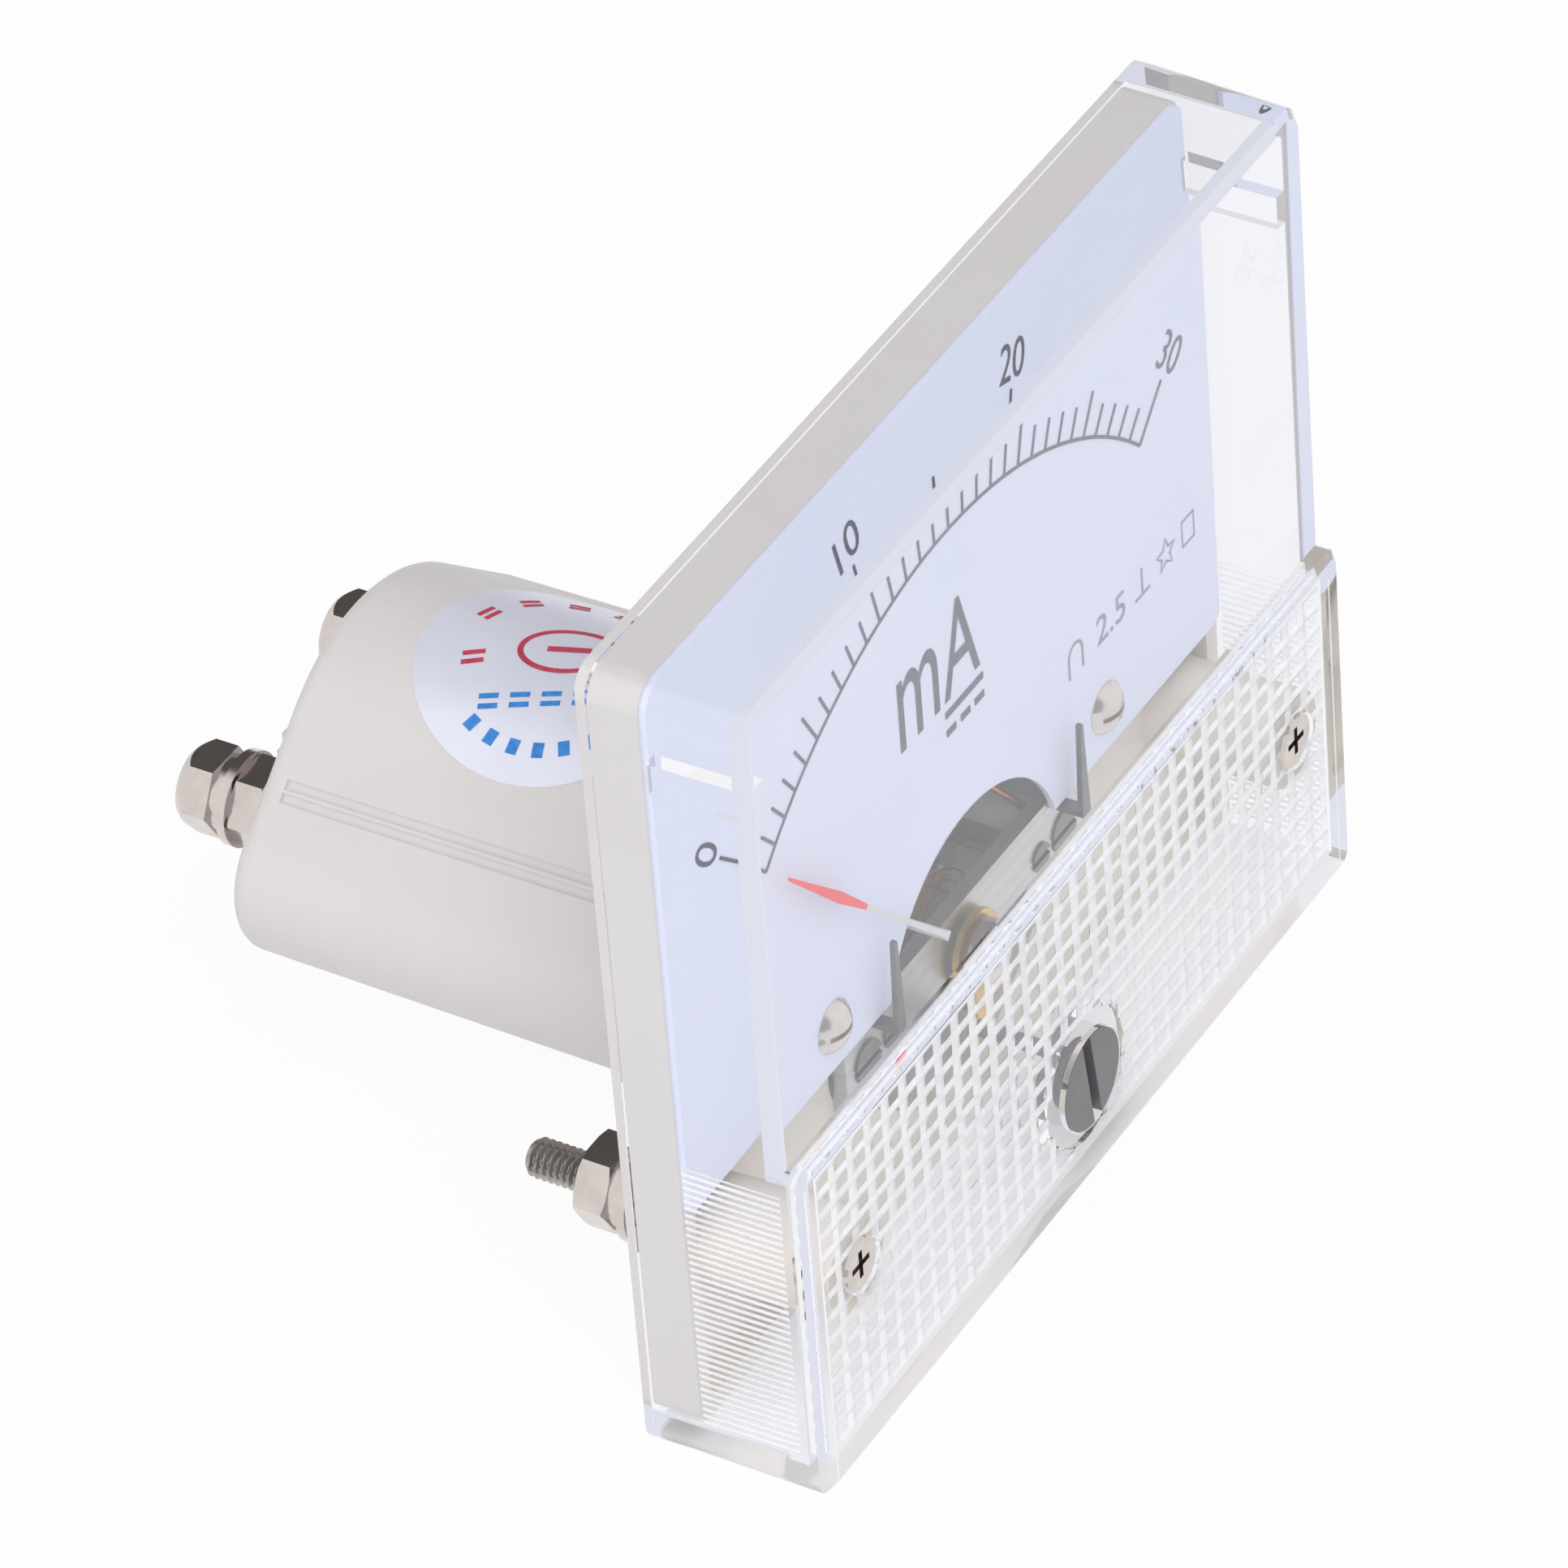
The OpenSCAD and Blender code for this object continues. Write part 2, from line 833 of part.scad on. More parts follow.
// soft iron ring that closes the magnetic path
module yoke_ring() {
    color(iron_colour)
        tube(0, axis_z, yoke_out, yoke_in, yoke_y, yoke_back);
}

// round magnet inside the coil
module core_magnet() {
    color(grey_colour)
        rod(0, axis_z, core_r, yoke_y, yoke_back);
}

// two brass webs that hold the magnet in the yoke, above and below
module core_supports() {
    color(brass_colour)
        intersection() {
            tube(0, axis_z, yoke_in, core_r, yoke_y + 1, yoke_back - 1);
            translate([0, 0, axis_z])
                cube([3.2, 4 * core_l, 2 * yoke_out], center = true);
        }
}

// pillars behind the yoke
module rear_pillars() {
    color(brass_colour)
        both_sides(pillar_x)
            tube(0, axis_z, pillar_r, 0.5, yoke_back, rear_bridge_y);
}

// rear plate with the anchor of the rear hairspring
module rear_bridge() {
    color(steel_colour) {
        difference() {
            slab(rear_bridge_y, rear_bridge_y + bridge_t)
                translate([0, axis_z])
                    round_rect(2 * pillar_x + 2, 2 * rear_half_h, 0.9);
            rod(0, axis_z, jewel_screw_r, rear_bridge_y - 1, rear_bridge_y + 2);
            both_sides(pillar_x)
                rod(0, axis_z, 0.6, rear_bridge_y - 1, rear_bridge_y + 2);
        }
        translate([-0.4, rear_spring_y, axis_z - rear_spring_out - 0.5])
            cube([0.8, rear_bridge_y + bridge_t - rear_spring_y, 0.5]);
        translate([-0.4, rear_bridge_y, axis_z - rear_spring_out - 0.5])
            cube([0.8, bridge_t, rear_spring_out + 0.6 - rear_half_h]);
    }
}

// screws of the rear plate
module rear_screws() {
    head_y = rear_bridge_y + bridge_t;
    color(brass_colour)
        both_sides(pillar_x)
            union() {
                rod(0, axis_z, 0.95, head_y, head_y + 0.5);
                rod(0, axis_z, 0.5, head_y - 3, head_y + eps);
            }
}

// hollow screw that carries the front jewel, with a round nut as its head
module front_jewel_screw() {
    head_y = fork_y - gap - 0.9;
    color(nickel_colour)
        difference() {
            union() {
                rod(0, axis_z, jewel_screw_r, head_y, front_jewel_y);
                rod(0, axis_z, front_nut_r, head_y, fork_y - gap);
            }
            rod(0, axis_z, jewel_r, front_jewel_y - jewel_t, front_jewel_y + 1);
            translate([0, head_y, axis_z])
                cube([3 * front_nut_r, 0.9, 0.4], center = true);
        }
}

// hollow screw that carries the rear jewel
module rear_jewel_screw() {
    end_y = rear_bridge_y + 3;
    color(brass_colour)
        difference() {
            union() {
                rod(0, axis_z, jewel_screw_r, rear_jewel_y, end_y);
                rod(0, axis_z, rear_nut_r, rear_bridge_y + bridge_t, rear_bridge_y + bridge_t + 0.8);
            }
            rod(0, axis_z, jewel_r, rear_jewel_y - 1, rear_jewel_y + jewel_t);
            translate([0, end_y, axis_z])
                cube([3 * rear_nut_r, 0.9, 0.4], center = true);
        }
}

// a jewel with a conical cup that faces the spindle
module jewel(front, cup_front) {
    difference() {
        rod(0, axis_z, jewel_r, front, front + jewel_t);
        translate([0, cup_front ? front - eps : front + jewel_t + eps, axis_z])
            rotate([cup_front ? -90 : 90, 0, 0])
                cylinder(r1 = 0.4, r2 = 0.05, h = 0.3);
    }
}

// front jewel
module front_jewel() {
    color(ruby_colour)
        jewel(front_jewel_y - jewel_t, false);
}

// rear jewel
module rear_jewel() {
    color(ruby_colour)
        jewel(rear_jewel_y, true);
}

// two pressed fingers that limit the needle beyond the ends of the scale
module needle_stops() {
    color(iron_colour)
        both_sides(stop_x)
            union() {
                translate([-stop_w / 2, blade_y, stop_foot])
                    cube([stop_w, bridge_y - blade_y, stop_t]);
                slab(blade_y, blade_y + stop_t)
                    polygon([
                        [-stop_w / 2, stop_foot],
                        [stop_w / 2, stop_foot],
                        [stop_tip_w / 2, stop_top],
                        [-stop_tip_w / 2, stop_top]
                    ]);
            }
}

// ---------- zero correction ----------

// grey disc with a slot, its shaft and an eccentric pin
module zero_adjuster() {
    disc_y = -band_y;
    lip = 0.2;
    color(grey_colour)
        difference() {
            union() {
                rod(0, adjuster_z, adjuster_r, disc_y, disc_y + sink - 0.05);
                rod(0, adjuster_z, shaft_r, disc_y + sink - 0.1, cover_boss_y + 0.6);
                rod(0, adjuster_z, shaft_r + lip, cover_boss_y + 0.1, cover_boss_y + 0.6);
                rod(0, pin_z, pin_r, cover_boss_y + 0.5, fork_y + fork_t + 0.2);
            }
            translate([0, disc_y, adjuster_z])
                rotate([0, -8, 0])
                    cube([0.9, 1.4, 2 * adjuster_r + 1], center = true);
        }
}

// forked lever on the front jewel screw, with a tab for the front hairspring
module zero_fork() {
    arm_w = 1.4;
    tines_w = 2 * fork_slot + 1.2;
    tines_l = 2.6;
    color(brass_colour)
        union() {
            slab(fork_y, fork_y + fork_t)
                difference() {
                    union() {
                        translate([0, axis_z])
                            circle(r = 2.4);
                        translate([-arm_w / 2, axis_z - fork_end])
                            square([arm_w, fork_end]);
                        translate([-tines_w / 2, axis_z - fork_end])
                            square([tines_w, tines_l + 0.6]);
                    }
                    translate([0, axis_z])
                        circle(r = jewel_screw_r + running_gap);
                    translate([-fork_slot, axis_z - fork_end - 1])
                        square([2 * fork_slot, tines_l + 1]);
                }
            translate([-0.4, fork_y, axis_z - front_spring_out - 0.6])
                cube([0.8, front_spring_y + spring_h - fork_y, 0.35]);
        }
}

// ---------- moving element, drawn with the needle at zero ----------

// a rectangular loop around the magnet
module loop(half_x_out, half_x_in, half_z, front_out, front_in, back_in, back_out) {
    turned(-rest_angle)
        difference() {
            translate([-half_x_out, front_out, axis_z - half_z])
                cube([2 * half_x_out, back_out - front_out, 2 * half_z]);
            translate([-half_x_in, front_in, axis_z - half_z - 1])
                cube([2 * half_x_in, back_in - front_in, 2 * half_z + 2]);
        }
}

// aluminium frame of the coil, which also damps the needle
module coil_former() {
    color(aluminium_colour)
        loop(former_out, former_in, former_half,
             former_front, former_front + former_end, former_back - former_end, former_back);
}

// copper winding on the outside of the frame
module moving_coil() {
    color(copper_colour)
        loop(former_out + coil_t, former_out, coil_half,
             coil_front, former_front, former_back, coil_back);
}

// pointed shaft in front of the coil
module front_spindle() {
    color(steel_colour) {
        rod(0, axis_z, 1.3, coil_front - 0.3, coil_front);
        rod(0, axis_z, spindle_r, hub_y - eps, coil_front - 0.3 + eps);
        rod(0, axis_z, collet_r, front_spring_y - 0.05, hub_y);
        translate([0, front_spring_y - 0.05, axis_z])
            rotate([90, 0, 0])
                cylinder(r1 = 0.3, r2 = 0.05, h = 0.5);
    }
}

// pointed shaft behind the coil
module rear_spindle() {
    color(steel_colour) {
        rod(0, axis_z, 1.3, coil_back, coil_back + 0.3);
        rod(0, axis_z, collet_r, coil_back + 0.3 - eps, rear_spring_y + spring_h + 0.05);
        translate([0, rear_spring_y + spring_h + 0.05, axis_z])
            rotate([-90, 0, 0])
                cylinder(r1 = 0.3, r2 = 0.05, h = rear_jewel_y - rear_spring_y - spring_h + 0.1);
    }
}

// needle: hub, inner arm, riser through the arch and outer blade
module needle() {
    color(red_colour)
        turned(-rest_angle)
            union() {
                tube(0, axis_z, hub_r, spindle_r, hub_y, hub_y + hub_t);
                translate([-arm_w / 2, hub_y, axis_z + hub_r - 0.2])
                    cube([arm_w, arm_t, riser_r - hub_r + 0.2]);
                translate([-arm_w / 2, blade_y, axis_z + riser_r - arm_t])
                    cube([arm_w, hub_y + arm_t - blade_y, arm_t]);
                slab(blade_y, blade_y + blade_t)
                    translate([0, axis_z])
                        polygon([
                            [-stem_w / 2, riser_r - arm_t],
                            [stem_w / 2, riser_r - arm_t],
                            [stem_w / 2, lance_r],
                            [blade_w / 2, lance_r + lance_l],
                            [tip_w / 2, needle_l],
                            [-tip_w / 2, needle_l],
                            [-blade_w / 2, lance_r + lance_l],
                            [-stem_w / 2, lance_r]
                        ]);
            }
}

// angle from the needle, distance from the axis, radius and length of each balance weight
balance_spots = [
    [90, side_weight_at, side_weight_r, side_weight_l],
    [-90, side_weight_at, side_weight_r, side_weight_l],
    [180, tail_weight_at, tail_weight_r, tail_weight_l]
];

// three arms on the hub that carry the balance weights
module balance_arms() {
    color(aluminium_colour)
        for (spot = balance_spots)
            turned(spot[0] - rest_angle)
                rod_up(balance_bore, hub_r, spot[1] + spot[3] / 2 + 0.4);
}

// a round bar that leaves the hub
module rod_up(r, from, to) {
    translate([0, hub_y + hub_t / 2, axis_z + from])
        cylinder(r = r, h = to - from, $fn = 24);
}

// small coils of wire that slide on the arms
module balance_weights() {
    color(brass_colour)
        for (spot = balance_spots)
            turned(spot[0] - rest_angle)
                difference() {
                    rod_up(spot[2], spot[1] - spot[3] / 2, spot[1] + spot[3] / 2);
                    rod_up(balance_bore, 0, 2 * spot[1]);
                }
}

// spiral strip from the collet to its anchor below the axis
module hairspring(y, outer) {
    parts = 40 * spring_turns;
    inner = collet_r + 0.02;
    ends = [for (i = [0:parts])
        let (a = -90 - 360 * spring_turns * (1 - i / parts),
             r = inner + (outer - inner) * i / parts)
            [r, a]];
    slab(y, y + spring_h)
        translate([0, axis_z])
            polygon(concat(
                [for (p = ends) [(p[0] + spring_t) * cos(p[1]), (p[0] + spring_t) * sin(p[1])]],
                [for (i = [parts:-1:0]) [ends[i][0] * cos(ends[i][1]), ends[i][0] * sin(ends[i][1])]]
            ));
}

// front hairspring, held by the fork
module front_hairspring() {
    color(brass_colour)
        hairspring(front_spring_y, front_spring_out + 0.16);
}

// rear hairspring, held by the rear plate
module rear_hairspring() {
    color(brass_colour)
        hairspring(rear_spring_y, rear_spring_out - spring_t);
}

base_housing();
front_cover();
dial_plate();
scale_print();
dial_screws();
cover_screws();
mounting_studs();
stud_washers();
stud_spring_washers();
stud_nuts();
terminal_inserts();
terminal_washers();
terminal_nuts();
terminal_spring_washers();
terminal_bolts();
solder_tags();
lead_wires();
shunt_resistor();
round_label();
front_bridge();
bridge_screws();
bridge_pillars();
yoke_ring();
core_magnet();
core_supports();
rear_pillars();
rear_bridge();
rear_screws();
front_jewel_screw();
rear_jewel_screw();
front_jewel();
rear_jewel();
needle_stops();
zero_adjuster();
zero_fork();
coil_former();
moving_coil();
front_spindle();
rear_spindle();
needle();
balance_arms();
balance_weights();
front_hairspring();
rear_hairspring();
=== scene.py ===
import json
import math

import bmesh
import bpy
import numpy as np
from mathutils import Matrix, Vector


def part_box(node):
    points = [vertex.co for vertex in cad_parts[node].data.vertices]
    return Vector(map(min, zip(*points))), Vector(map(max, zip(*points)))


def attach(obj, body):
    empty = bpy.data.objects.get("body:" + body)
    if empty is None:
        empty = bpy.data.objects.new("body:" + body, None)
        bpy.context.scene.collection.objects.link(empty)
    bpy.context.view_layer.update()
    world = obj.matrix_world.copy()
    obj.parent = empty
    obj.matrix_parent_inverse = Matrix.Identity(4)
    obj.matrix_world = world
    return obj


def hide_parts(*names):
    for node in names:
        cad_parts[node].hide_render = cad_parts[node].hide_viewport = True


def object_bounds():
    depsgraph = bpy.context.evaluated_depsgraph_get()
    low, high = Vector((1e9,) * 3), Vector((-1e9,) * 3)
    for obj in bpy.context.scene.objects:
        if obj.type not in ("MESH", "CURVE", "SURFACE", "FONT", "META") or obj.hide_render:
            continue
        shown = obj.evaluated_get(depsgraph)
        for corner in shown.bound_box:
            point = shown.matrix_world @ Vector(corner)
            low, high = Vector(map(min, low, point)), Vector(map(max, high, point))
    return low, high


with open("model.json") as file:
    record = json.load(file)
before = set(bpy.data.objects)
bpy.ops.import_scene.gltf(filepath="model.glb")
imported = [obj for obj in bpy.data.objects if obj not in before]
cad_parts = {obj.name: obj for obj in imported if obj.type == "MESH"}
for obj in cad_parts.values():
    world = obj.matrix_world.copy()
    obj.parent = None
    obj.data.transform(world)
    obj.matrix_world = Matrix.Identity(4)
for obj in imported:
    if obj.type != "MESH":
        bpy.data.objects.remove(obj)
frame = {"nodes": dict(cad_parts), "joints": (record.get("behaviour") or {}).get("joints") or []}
cad_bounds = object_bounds()
mm = 0.001


# ---------- Viewpoint ----------
# The meter is seen from high on its left side, from about 0.6 m away, with a long lens.
# The three angles turn the camera round the middle of the bezel, which is the origin.

def stand_camera(azimuth, elevation, roll, distance, aside, above, lens):
    """Camera axes: back points from the origin to the camera, right is level, up is back x right;
    right and up are then turned by roll. The place is aside*right + above*up + distance*back."""
    a, e, r = np.radians([azimuth, elevation, roll])
    back = np.array([np.sin(a) * np.cos(e), -np.cos(a) * np.cos(e), np.sin(e)])
    level = np.array([np.cos(a), np.sin(a), 0.0])
    upright = np.cross(back, level)
    right = np.cos(r) * level + np.sin(r) * upright
    up = -np.sin(r) * level + np.cos(r) * upright
    axes = np.stack([right, up, back], axis=1)
    data = bpy.data.cameras.new("camera")
    data.lens = lens
    data.sensor_width = 36.0
    data.clip_start = 0.01
    camera = bpy.data.objects.new("camera", data)
    bpy.context.collection.objects.link(camera)
    turn = Matrix(axes.tolist()).to_4x4()
    place = axes @ np.array([aside, above, distance])
    camera.matrix_world = Matrix.Translation(Vector(place.tolist())) @ turn
    bpy.context.scene.camera = camera


stand_camera(azimuth=-56.994, elevation=38.635, roll=-4.724, distance=618.163 * mm,
             aside=-6.429 * mm, above=-2.297 * mm, lens=248.09)


# ---------- Studio ----------
# A plain white table under the meter, soft light from all round and two wide lamps.
# Seen straight on or through the clear cover, the room is plain white; metal mirrors its dark sides.

def paint(red, green, blue):
    """Screen colour to linear colour: ((c + 0.055) / 1.055) ** 2.4, or c / 12.92 when dark."""
    shades = np.array([red, green, blue])
    linear = np.where(shades > 0.04045, ((shades + 0.055) / 1.055) ** 2.4, shades / 12.92)
    return (*linear.tolist(), 1.0)


def new_material(name):
    """An empty material with its node tree, its Principled shader and its output."""
    material = bpy.data.materials.new(name)
    material.use_nodes = True
    tree = material.node_tree
    return material, tree, tree.nodes["Principled BSDF"], tree.nodes["Material Output"]


def two_tones(tree, share, first, second):
    """A colour between two tones."""
    mix = tree.nodes.new("ShaderNodeMix")
    mix.data_type = "RGBA"
    mix.inputs["A"].default_value = first
    mix.inputs["B"].default_value = second
    tree.links.new(share, mix.inputs["Factor"])
    return mix.outputs["Result"]


def two_shaders(tree, share, first, second):
    """The first shader where the share is 0, the second where it is 1."""
    mix = tree.nodes.new("ShaderNodeMixShader")
    tree.links.new(share, mix.inputs[0])
    tree.links.new(first, mix.inputs[1])
    tree.links.new(second, mix.inputs[2])
    return mix.outputs[0]


def maths(tree, operation, value, other):
    """One step of maths on a value and another value, or a plain number."""
    node = tree.nodes.new("ShaderNodeMath")
    node.operation = operation
    tree.links.new(value, node.inputs[0])
    if isinstance(other, float):
        node.inputs[1].default_value = other
    else:
        tree.links.new(other, node.inputs[1])
    return node.outputs[0]


def within(tree, value, low, high):
    """1 where a value lies between two limits, else 0."""
    test = tree.nodes.new("ShaderNodeMath")
    test.operation = "COMPARE"
    test.inputs[1].default_value = (low + high) / 2
    test.inputs[2].default_value = (high - low) / 2
    tree.links.new(value, test.inputs[0])
    return test.outputs[0]


def mirrored_ray(tree, path):
    """1 for a mirrored ray. A ray that goes through clear plastic counts as glossy too, and as
    transmission, so that is taken off."""
    return maths(tree, "SUBTRACT", path.outputs["Is Glossy Ray"], path.outputs["Is Transmission Ray"])


def towards(tree, direction, low, high, dark):
    """1 away from a direction of the room, and the dark value where the ray runs along it. Low and
    high are the cosines between which it fades."""
    where = tree.nodes.new("ShaderNodeTexCoord")
    aim = tree.nodes.new("ShaderNodeVectorMath")
    aim.operation = "DOT_PRODUCT"
    aim.inputs[1].default_value = direction
    tree.links.new(where.outputs["Generated"], aim.inputs[0])
    fade = tree.nodes.new("ShaderNodeMapRange")
    fade.interpolation_type = "SMOOTHSTEP"
    fade.inputs["From Min"].default_value = low
    fade.inputs["From Max"].default_value = high
    fade.inputs["To Min"].default_value = 1.0
    fade.inputs["To Max"].default_value = dark
    tree.links.new(aim.outputs["Value"], fade.inputs["Value"])
    return fade.outputs["Result"]


def light_room(strength):
    """The room lights the object at the given strength and looks plain white. A reflection shows
    its dark sides at the second turn of the ray, on metal in the open, and at the fourth, on metal
    under the cover. At any other turn, inside the clear walls, it shows the room pale."""
    world = bpy.data.worlds.new("room")
    world.use_nodes = True
    bpy.context.scene.world = world
    tree = world.node_tree
    lighting = tree.nodes["Background"]
    lighting.inputs["Color"].default_value = (1.0, 1.0, 1.0, 1.0)
    lighting.inputs["Strength"].default_value = strength
    white = tree.nodes.new("ShaderNodeBackground")
    white.inputs["Color"].default_value = (1.0, 1.0, 1.0, 1.0)
    pale = tree.nodes.new("ShaderNodeBackground")
    pale.inputs["Color"].default_value = paint(0.86, 0.86, 0.90)
    sides = tree.nodes.new("ShaderNodeBackground")
    far_side = towards(tree, (0.655, 0.425, 0.625), low=0.55, high=0.88, dark=0.10)
    near_side = towards(tree, (-0.60, -0.70, 0.39), low=0.80, high=0.95, dark=0.35)
    tree.links.new(maths(tree, "MULTIPLY", far_side, near_side), sides.inputs["Color"])
    path = tree.nodes.new("ShaderNodeLightPath")
    in_the_open = within(tree, path.outputs["Ray Depth"], 1.5, 2.5)
    under_cover = within(tree, path.outputs["Ray Depth"], 3.5, 4.5)
    on_metal = maths(tree, "MAXIMUM", in_the_open, under_cover)
    mirrored = two_shaders(tree, on_metal, pale.outputs[0], sides.outputs[0])
    room = two_shaders(tree, path.outputs["Is Glossy Ray"], lighting.outputs[0], mirrored)
    straight = maths(tree, "MAXIMUM", path.outputs["Is Camera Ray"], path.outputs["Is Transmission Ray"])
    seen = two_shaders(tree, straight, room, white.outputs[0])
    tree.links.new(seen, tree.nodes["World Output"].inputs["Surface"])


def lay_table(height, half):
    """A flat square table top. It looks mostly plain white, with a small share of its true look and
    so of the shadow, and pale after one turn of the ray inside the clear walls."""
    corners = [(-half, -half, height), (half, -half, height), (half, half, height), (-half, half, height)]
    mesh = bpy.data.meshes.new("table")
    mesh.from_pydata(corners, [], [(0, 1, 2, 3)])
    table = bpy.data.objects.new("table", mesh)
    bpy.context.collection.objects.link(table)
    material, tree, shader, output = new_material("table_white")
    shader.inputs["Base Color"].default_value = paint(0.93, 0.93, 0.93)
    shader.inputs["Roughness"].default_value = 0.9
    shader.inputs["Specular IOR Level"].default_value = 0.1
    path = tree.nodes.new("ShaderNodeLightPath")
    second_turn = within(tree, path.outputs["Ray Depth"], 1.5, 2.5)
    in_wall = maths(tree, "MULTIPLY", mirrored_ray(tree, path), second_turn)
    shown = two_tones(tree, in_wall, (1.0, 1.0, 1.0, 1.0), paint(0.87, 0.88, 0.93))
    glow = tree.nodes.new("ShaderNodeEmission")
    tree.links.new(shown, glow.inputs["Color"])
    seen = maths(tree, "MAXIMUM", path.outputs["Is Camera Ray"], path.outputs["Is Glossy Ray"])
    seen = maths(tree, "MAXIMUM", seen, path.outputs["Is Transmission Ray"])
    share = maths(tree, "MULTIPLY", seen, 0.94)
    tree.links.new(two_shaders(tree, share, shader.outputs[0], glow.outputs[0]), output.inputs["Surface"])
    mesh.materials.append(material)


def hang_lamp(name, place, aim, size, power):
    """A square lamp at a place, turned towards the point it lights. Reflections don't show it."""
    data = bpy.data.lights.new(name, "AREA")
    data.energy = power
    data.size = size
    lamp = bpy.data.objects.new(name, data)
    bpy.context.collection.objects.link(lamp)
    lamp.location = place
    lamp.rotation_euler = (Vector(aim) - Vector(place)).to_track_quat("-Z", "Y").to_euler()
    lamp.visible_glossy = False


light_room(strength=0.62)
lay_table(height=cad_bounds[0][2] - 0.05 * mm, half=3.0)
hang_lamp("wide_lamp", place=(-0.40, -0.42, 0.72), aim=(0.0, 0.0, 0.0), size=0.6, power=3.9)
hang_lamp("side_lamp", place=(-0.7, 0.35, 0.25), aim=(0.0, 0.0, 0.0), size=0.4, power=0.8)
bpy.context.scene.view_settings.view_transform = "Standard"


# ---------- Cream base ----------
# The base is one moulding: flange, rim, rear barrel and bosses, in a warm off-white plastic.
# It is satin from the mould, with a faint cloudiness and a very fine grain.

def cloud(tree, scale, low, high, detail=3.0, stretch=(1.0, 1.0, 1.0)):
    """Soft noise on Object coordinates, spread from low to high."""
    where = tree.nodes.new("ShaderNodeTexCoord")
    squeeze = tree.nodes.new("ShaderNodeMapping")
    squeeze.inputs["Scale"].default_value = stretch
    noise = tree.nodes.new("ShaderNodeTexNoise")
    noise.inputs["Scale"].default_value = scale
    noise.inputs["Detail"].default_value = detail
    tree.links.new(where.outputs["Object"], squeeze.inputs["Vector"])
    tree.links.new(squeeze.outputs["Vector"], noise.inputs["Vector"])
    spread = tree.nodes.new("ShaderNodeMapRange")
    spread.inputs["From Min"].default_value = 0.3
    spread.inputs["From Max"].default_value = 0.7
    spread.inputs["To Min"].default_value = low
    spread.inputs["To Max"].default_value = high
    tree.links.new(noise.outputs["Fac"], spread.inputs["Value"])
    return spread.outputs["Result"]


def grain(tree, shader, height, depth):
    """Raises the surface by a height signal, as a bump of a given depth in metres."""
    bump = tree.nodes.new("ShaderNodeBump")
    bump.inputs["Distance"].default_value = depth
    bump.inputs["Strength"].default_value = 0.6
    tree.links.new(height, bump.inputs["Height"])
    tree.links.new(bump.outputs["Normal"], shader.inputs["Normal"])


def moulded_plastic(name, first, second, low, high, depth):
    """Satin plastic: two close tones in soft clouds, a roughness that wanders from low to high, and
    a fine grain of a given depth."""
    material, tree, shader, _ = new_material(name)
    colour = two_tones(tree, cloud(tree, 90.0, 0.0, 1.0), first, second)
    tree.links.new(colour, shader.inputs["Base Color"])
    tree.links.new(cloud(tree, 400.0, low, high), shader.inputs["Roughness"])
    grain(tree, shader, cloud(tree, 6000.0, 0.0, 1.0), depth)
    return material


def dress(node, material):
    """Gives a CAD piece its finish."""
    mesh = frame["nodes"][node].data
    mesh.materials.clear()
    mesh.materials.append(material)


def paint_warm_light_under_cover(material, low, high, warm_light_tint):
    """Painted light: multiplies the colour by a warm tint on the part of the moulding that lies deep
    under the clear cover, where the light looks warmer, between two corners, on Object coordinates."""
    tree = material.node_tree
    colour = tree.nodes["Principled BSDF"].inputs["Base Color"]
    where = tree.nodes.new("ShaderNodeTexCoord")
    split = tree.nodes.new("ShaderNodeSeparateXYZ")
    tree.links.new(where.outputs["Object"], split.inputs["Vector"])
    share = within(tree, split.outputs["X"], low[0], high[0])
    for axis, start, end in (("Y", low[1], high[1]), ("Z", low[2], high[2])):
        share = maths(tree, "MULTIPLY", share, within(tree, split.outputs[axis], start, end))
    mix = tree.nodes.new("ShaderNodeMix")
    mix.data_type = "RGBA"
    mix.blend_type = "MULTIPLY"
    mix.inputs["B"].default_value = warm_light_tint
    tree.links.new(colour.links[0].from_socket, mix.inputs["A"])
    tree.links.new(share, mix.inputs["Factor"])
    tree.links.new(mix.outputs["Result"], colour)


cream = moulded_plastic(
    "cream_plastic", paint(0.85, 0.832, 0.832), paint(0.865, 0.85, 0.848),
    low=0.38, high=0.5, depth=0.008 * mm)
base_low, base_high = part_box("base_housing")
rim = 0.6 * mm
# Painted warm light: the base's colour under the clear cover is tinted warmer; the moulding itself is one
# colour.
paint_warm_light_under_cover(
    cream, (base_low[0] + rim, base_low[1] - mm, base_low[2] + rim),
    (base_high[0] - rim, -mm, base_high[2] - rim), paint(1.0, 0.985, 0.94))
dress("base_housing", cream)


def solid(name, points, faces, material, body):
    """A closed piece at the origin from an array of points in metres, its faces turned outward."""
    mesh = bpy.data.meshes.new(name)
    mesh.from_pydata(points.tolist(), [], faces.tolist())
    shape = bmesh.new()
    shape.from_mesh(mesh)
    bmesh.ops.remove_doubles(shape, verts=shape.verts, dist=1e-7)
    bmesh.ops.recalc_face_normals(shape, faces=shape.faces)
    shape.to_mesh(mesh)
    shape.free()
    mesh.shade_smooth()
    mesh.set_sharp_from_angle(angle=math.radians(32.0))
    mesh.materials.append(material)
    piece = bpy.data.objects.new(name, mesh)
    bpy.context.collection.objects.link(piece)
    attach(piece, body)
    return piece


def boxes(centres, sizes):
    """Points and faces of upright boxes, from rows of centres and of full sizes."""
    corner = np.array([[x, y, z] for x in (-0.5, 0.5) for y in (-0.5, 0.5) for z in (-0.5, 0.5)])
    points = centres[:, None, :] + corner[None, :, :] * sizes[:, None, :]
    sides = np.array([[0, 1, 3, 2], [4, 6, 7, 5], [0, 4, 5, 1], [2, 3, 7, 6], [0, 2, 6, 4], [1, 5, 7, 3]])
    faces = sides[None, :, :] + 8 * np.arange(len(centres))[:, None, None]
    return points.reshape(-1, 3), faces.reshape(-1, 4)


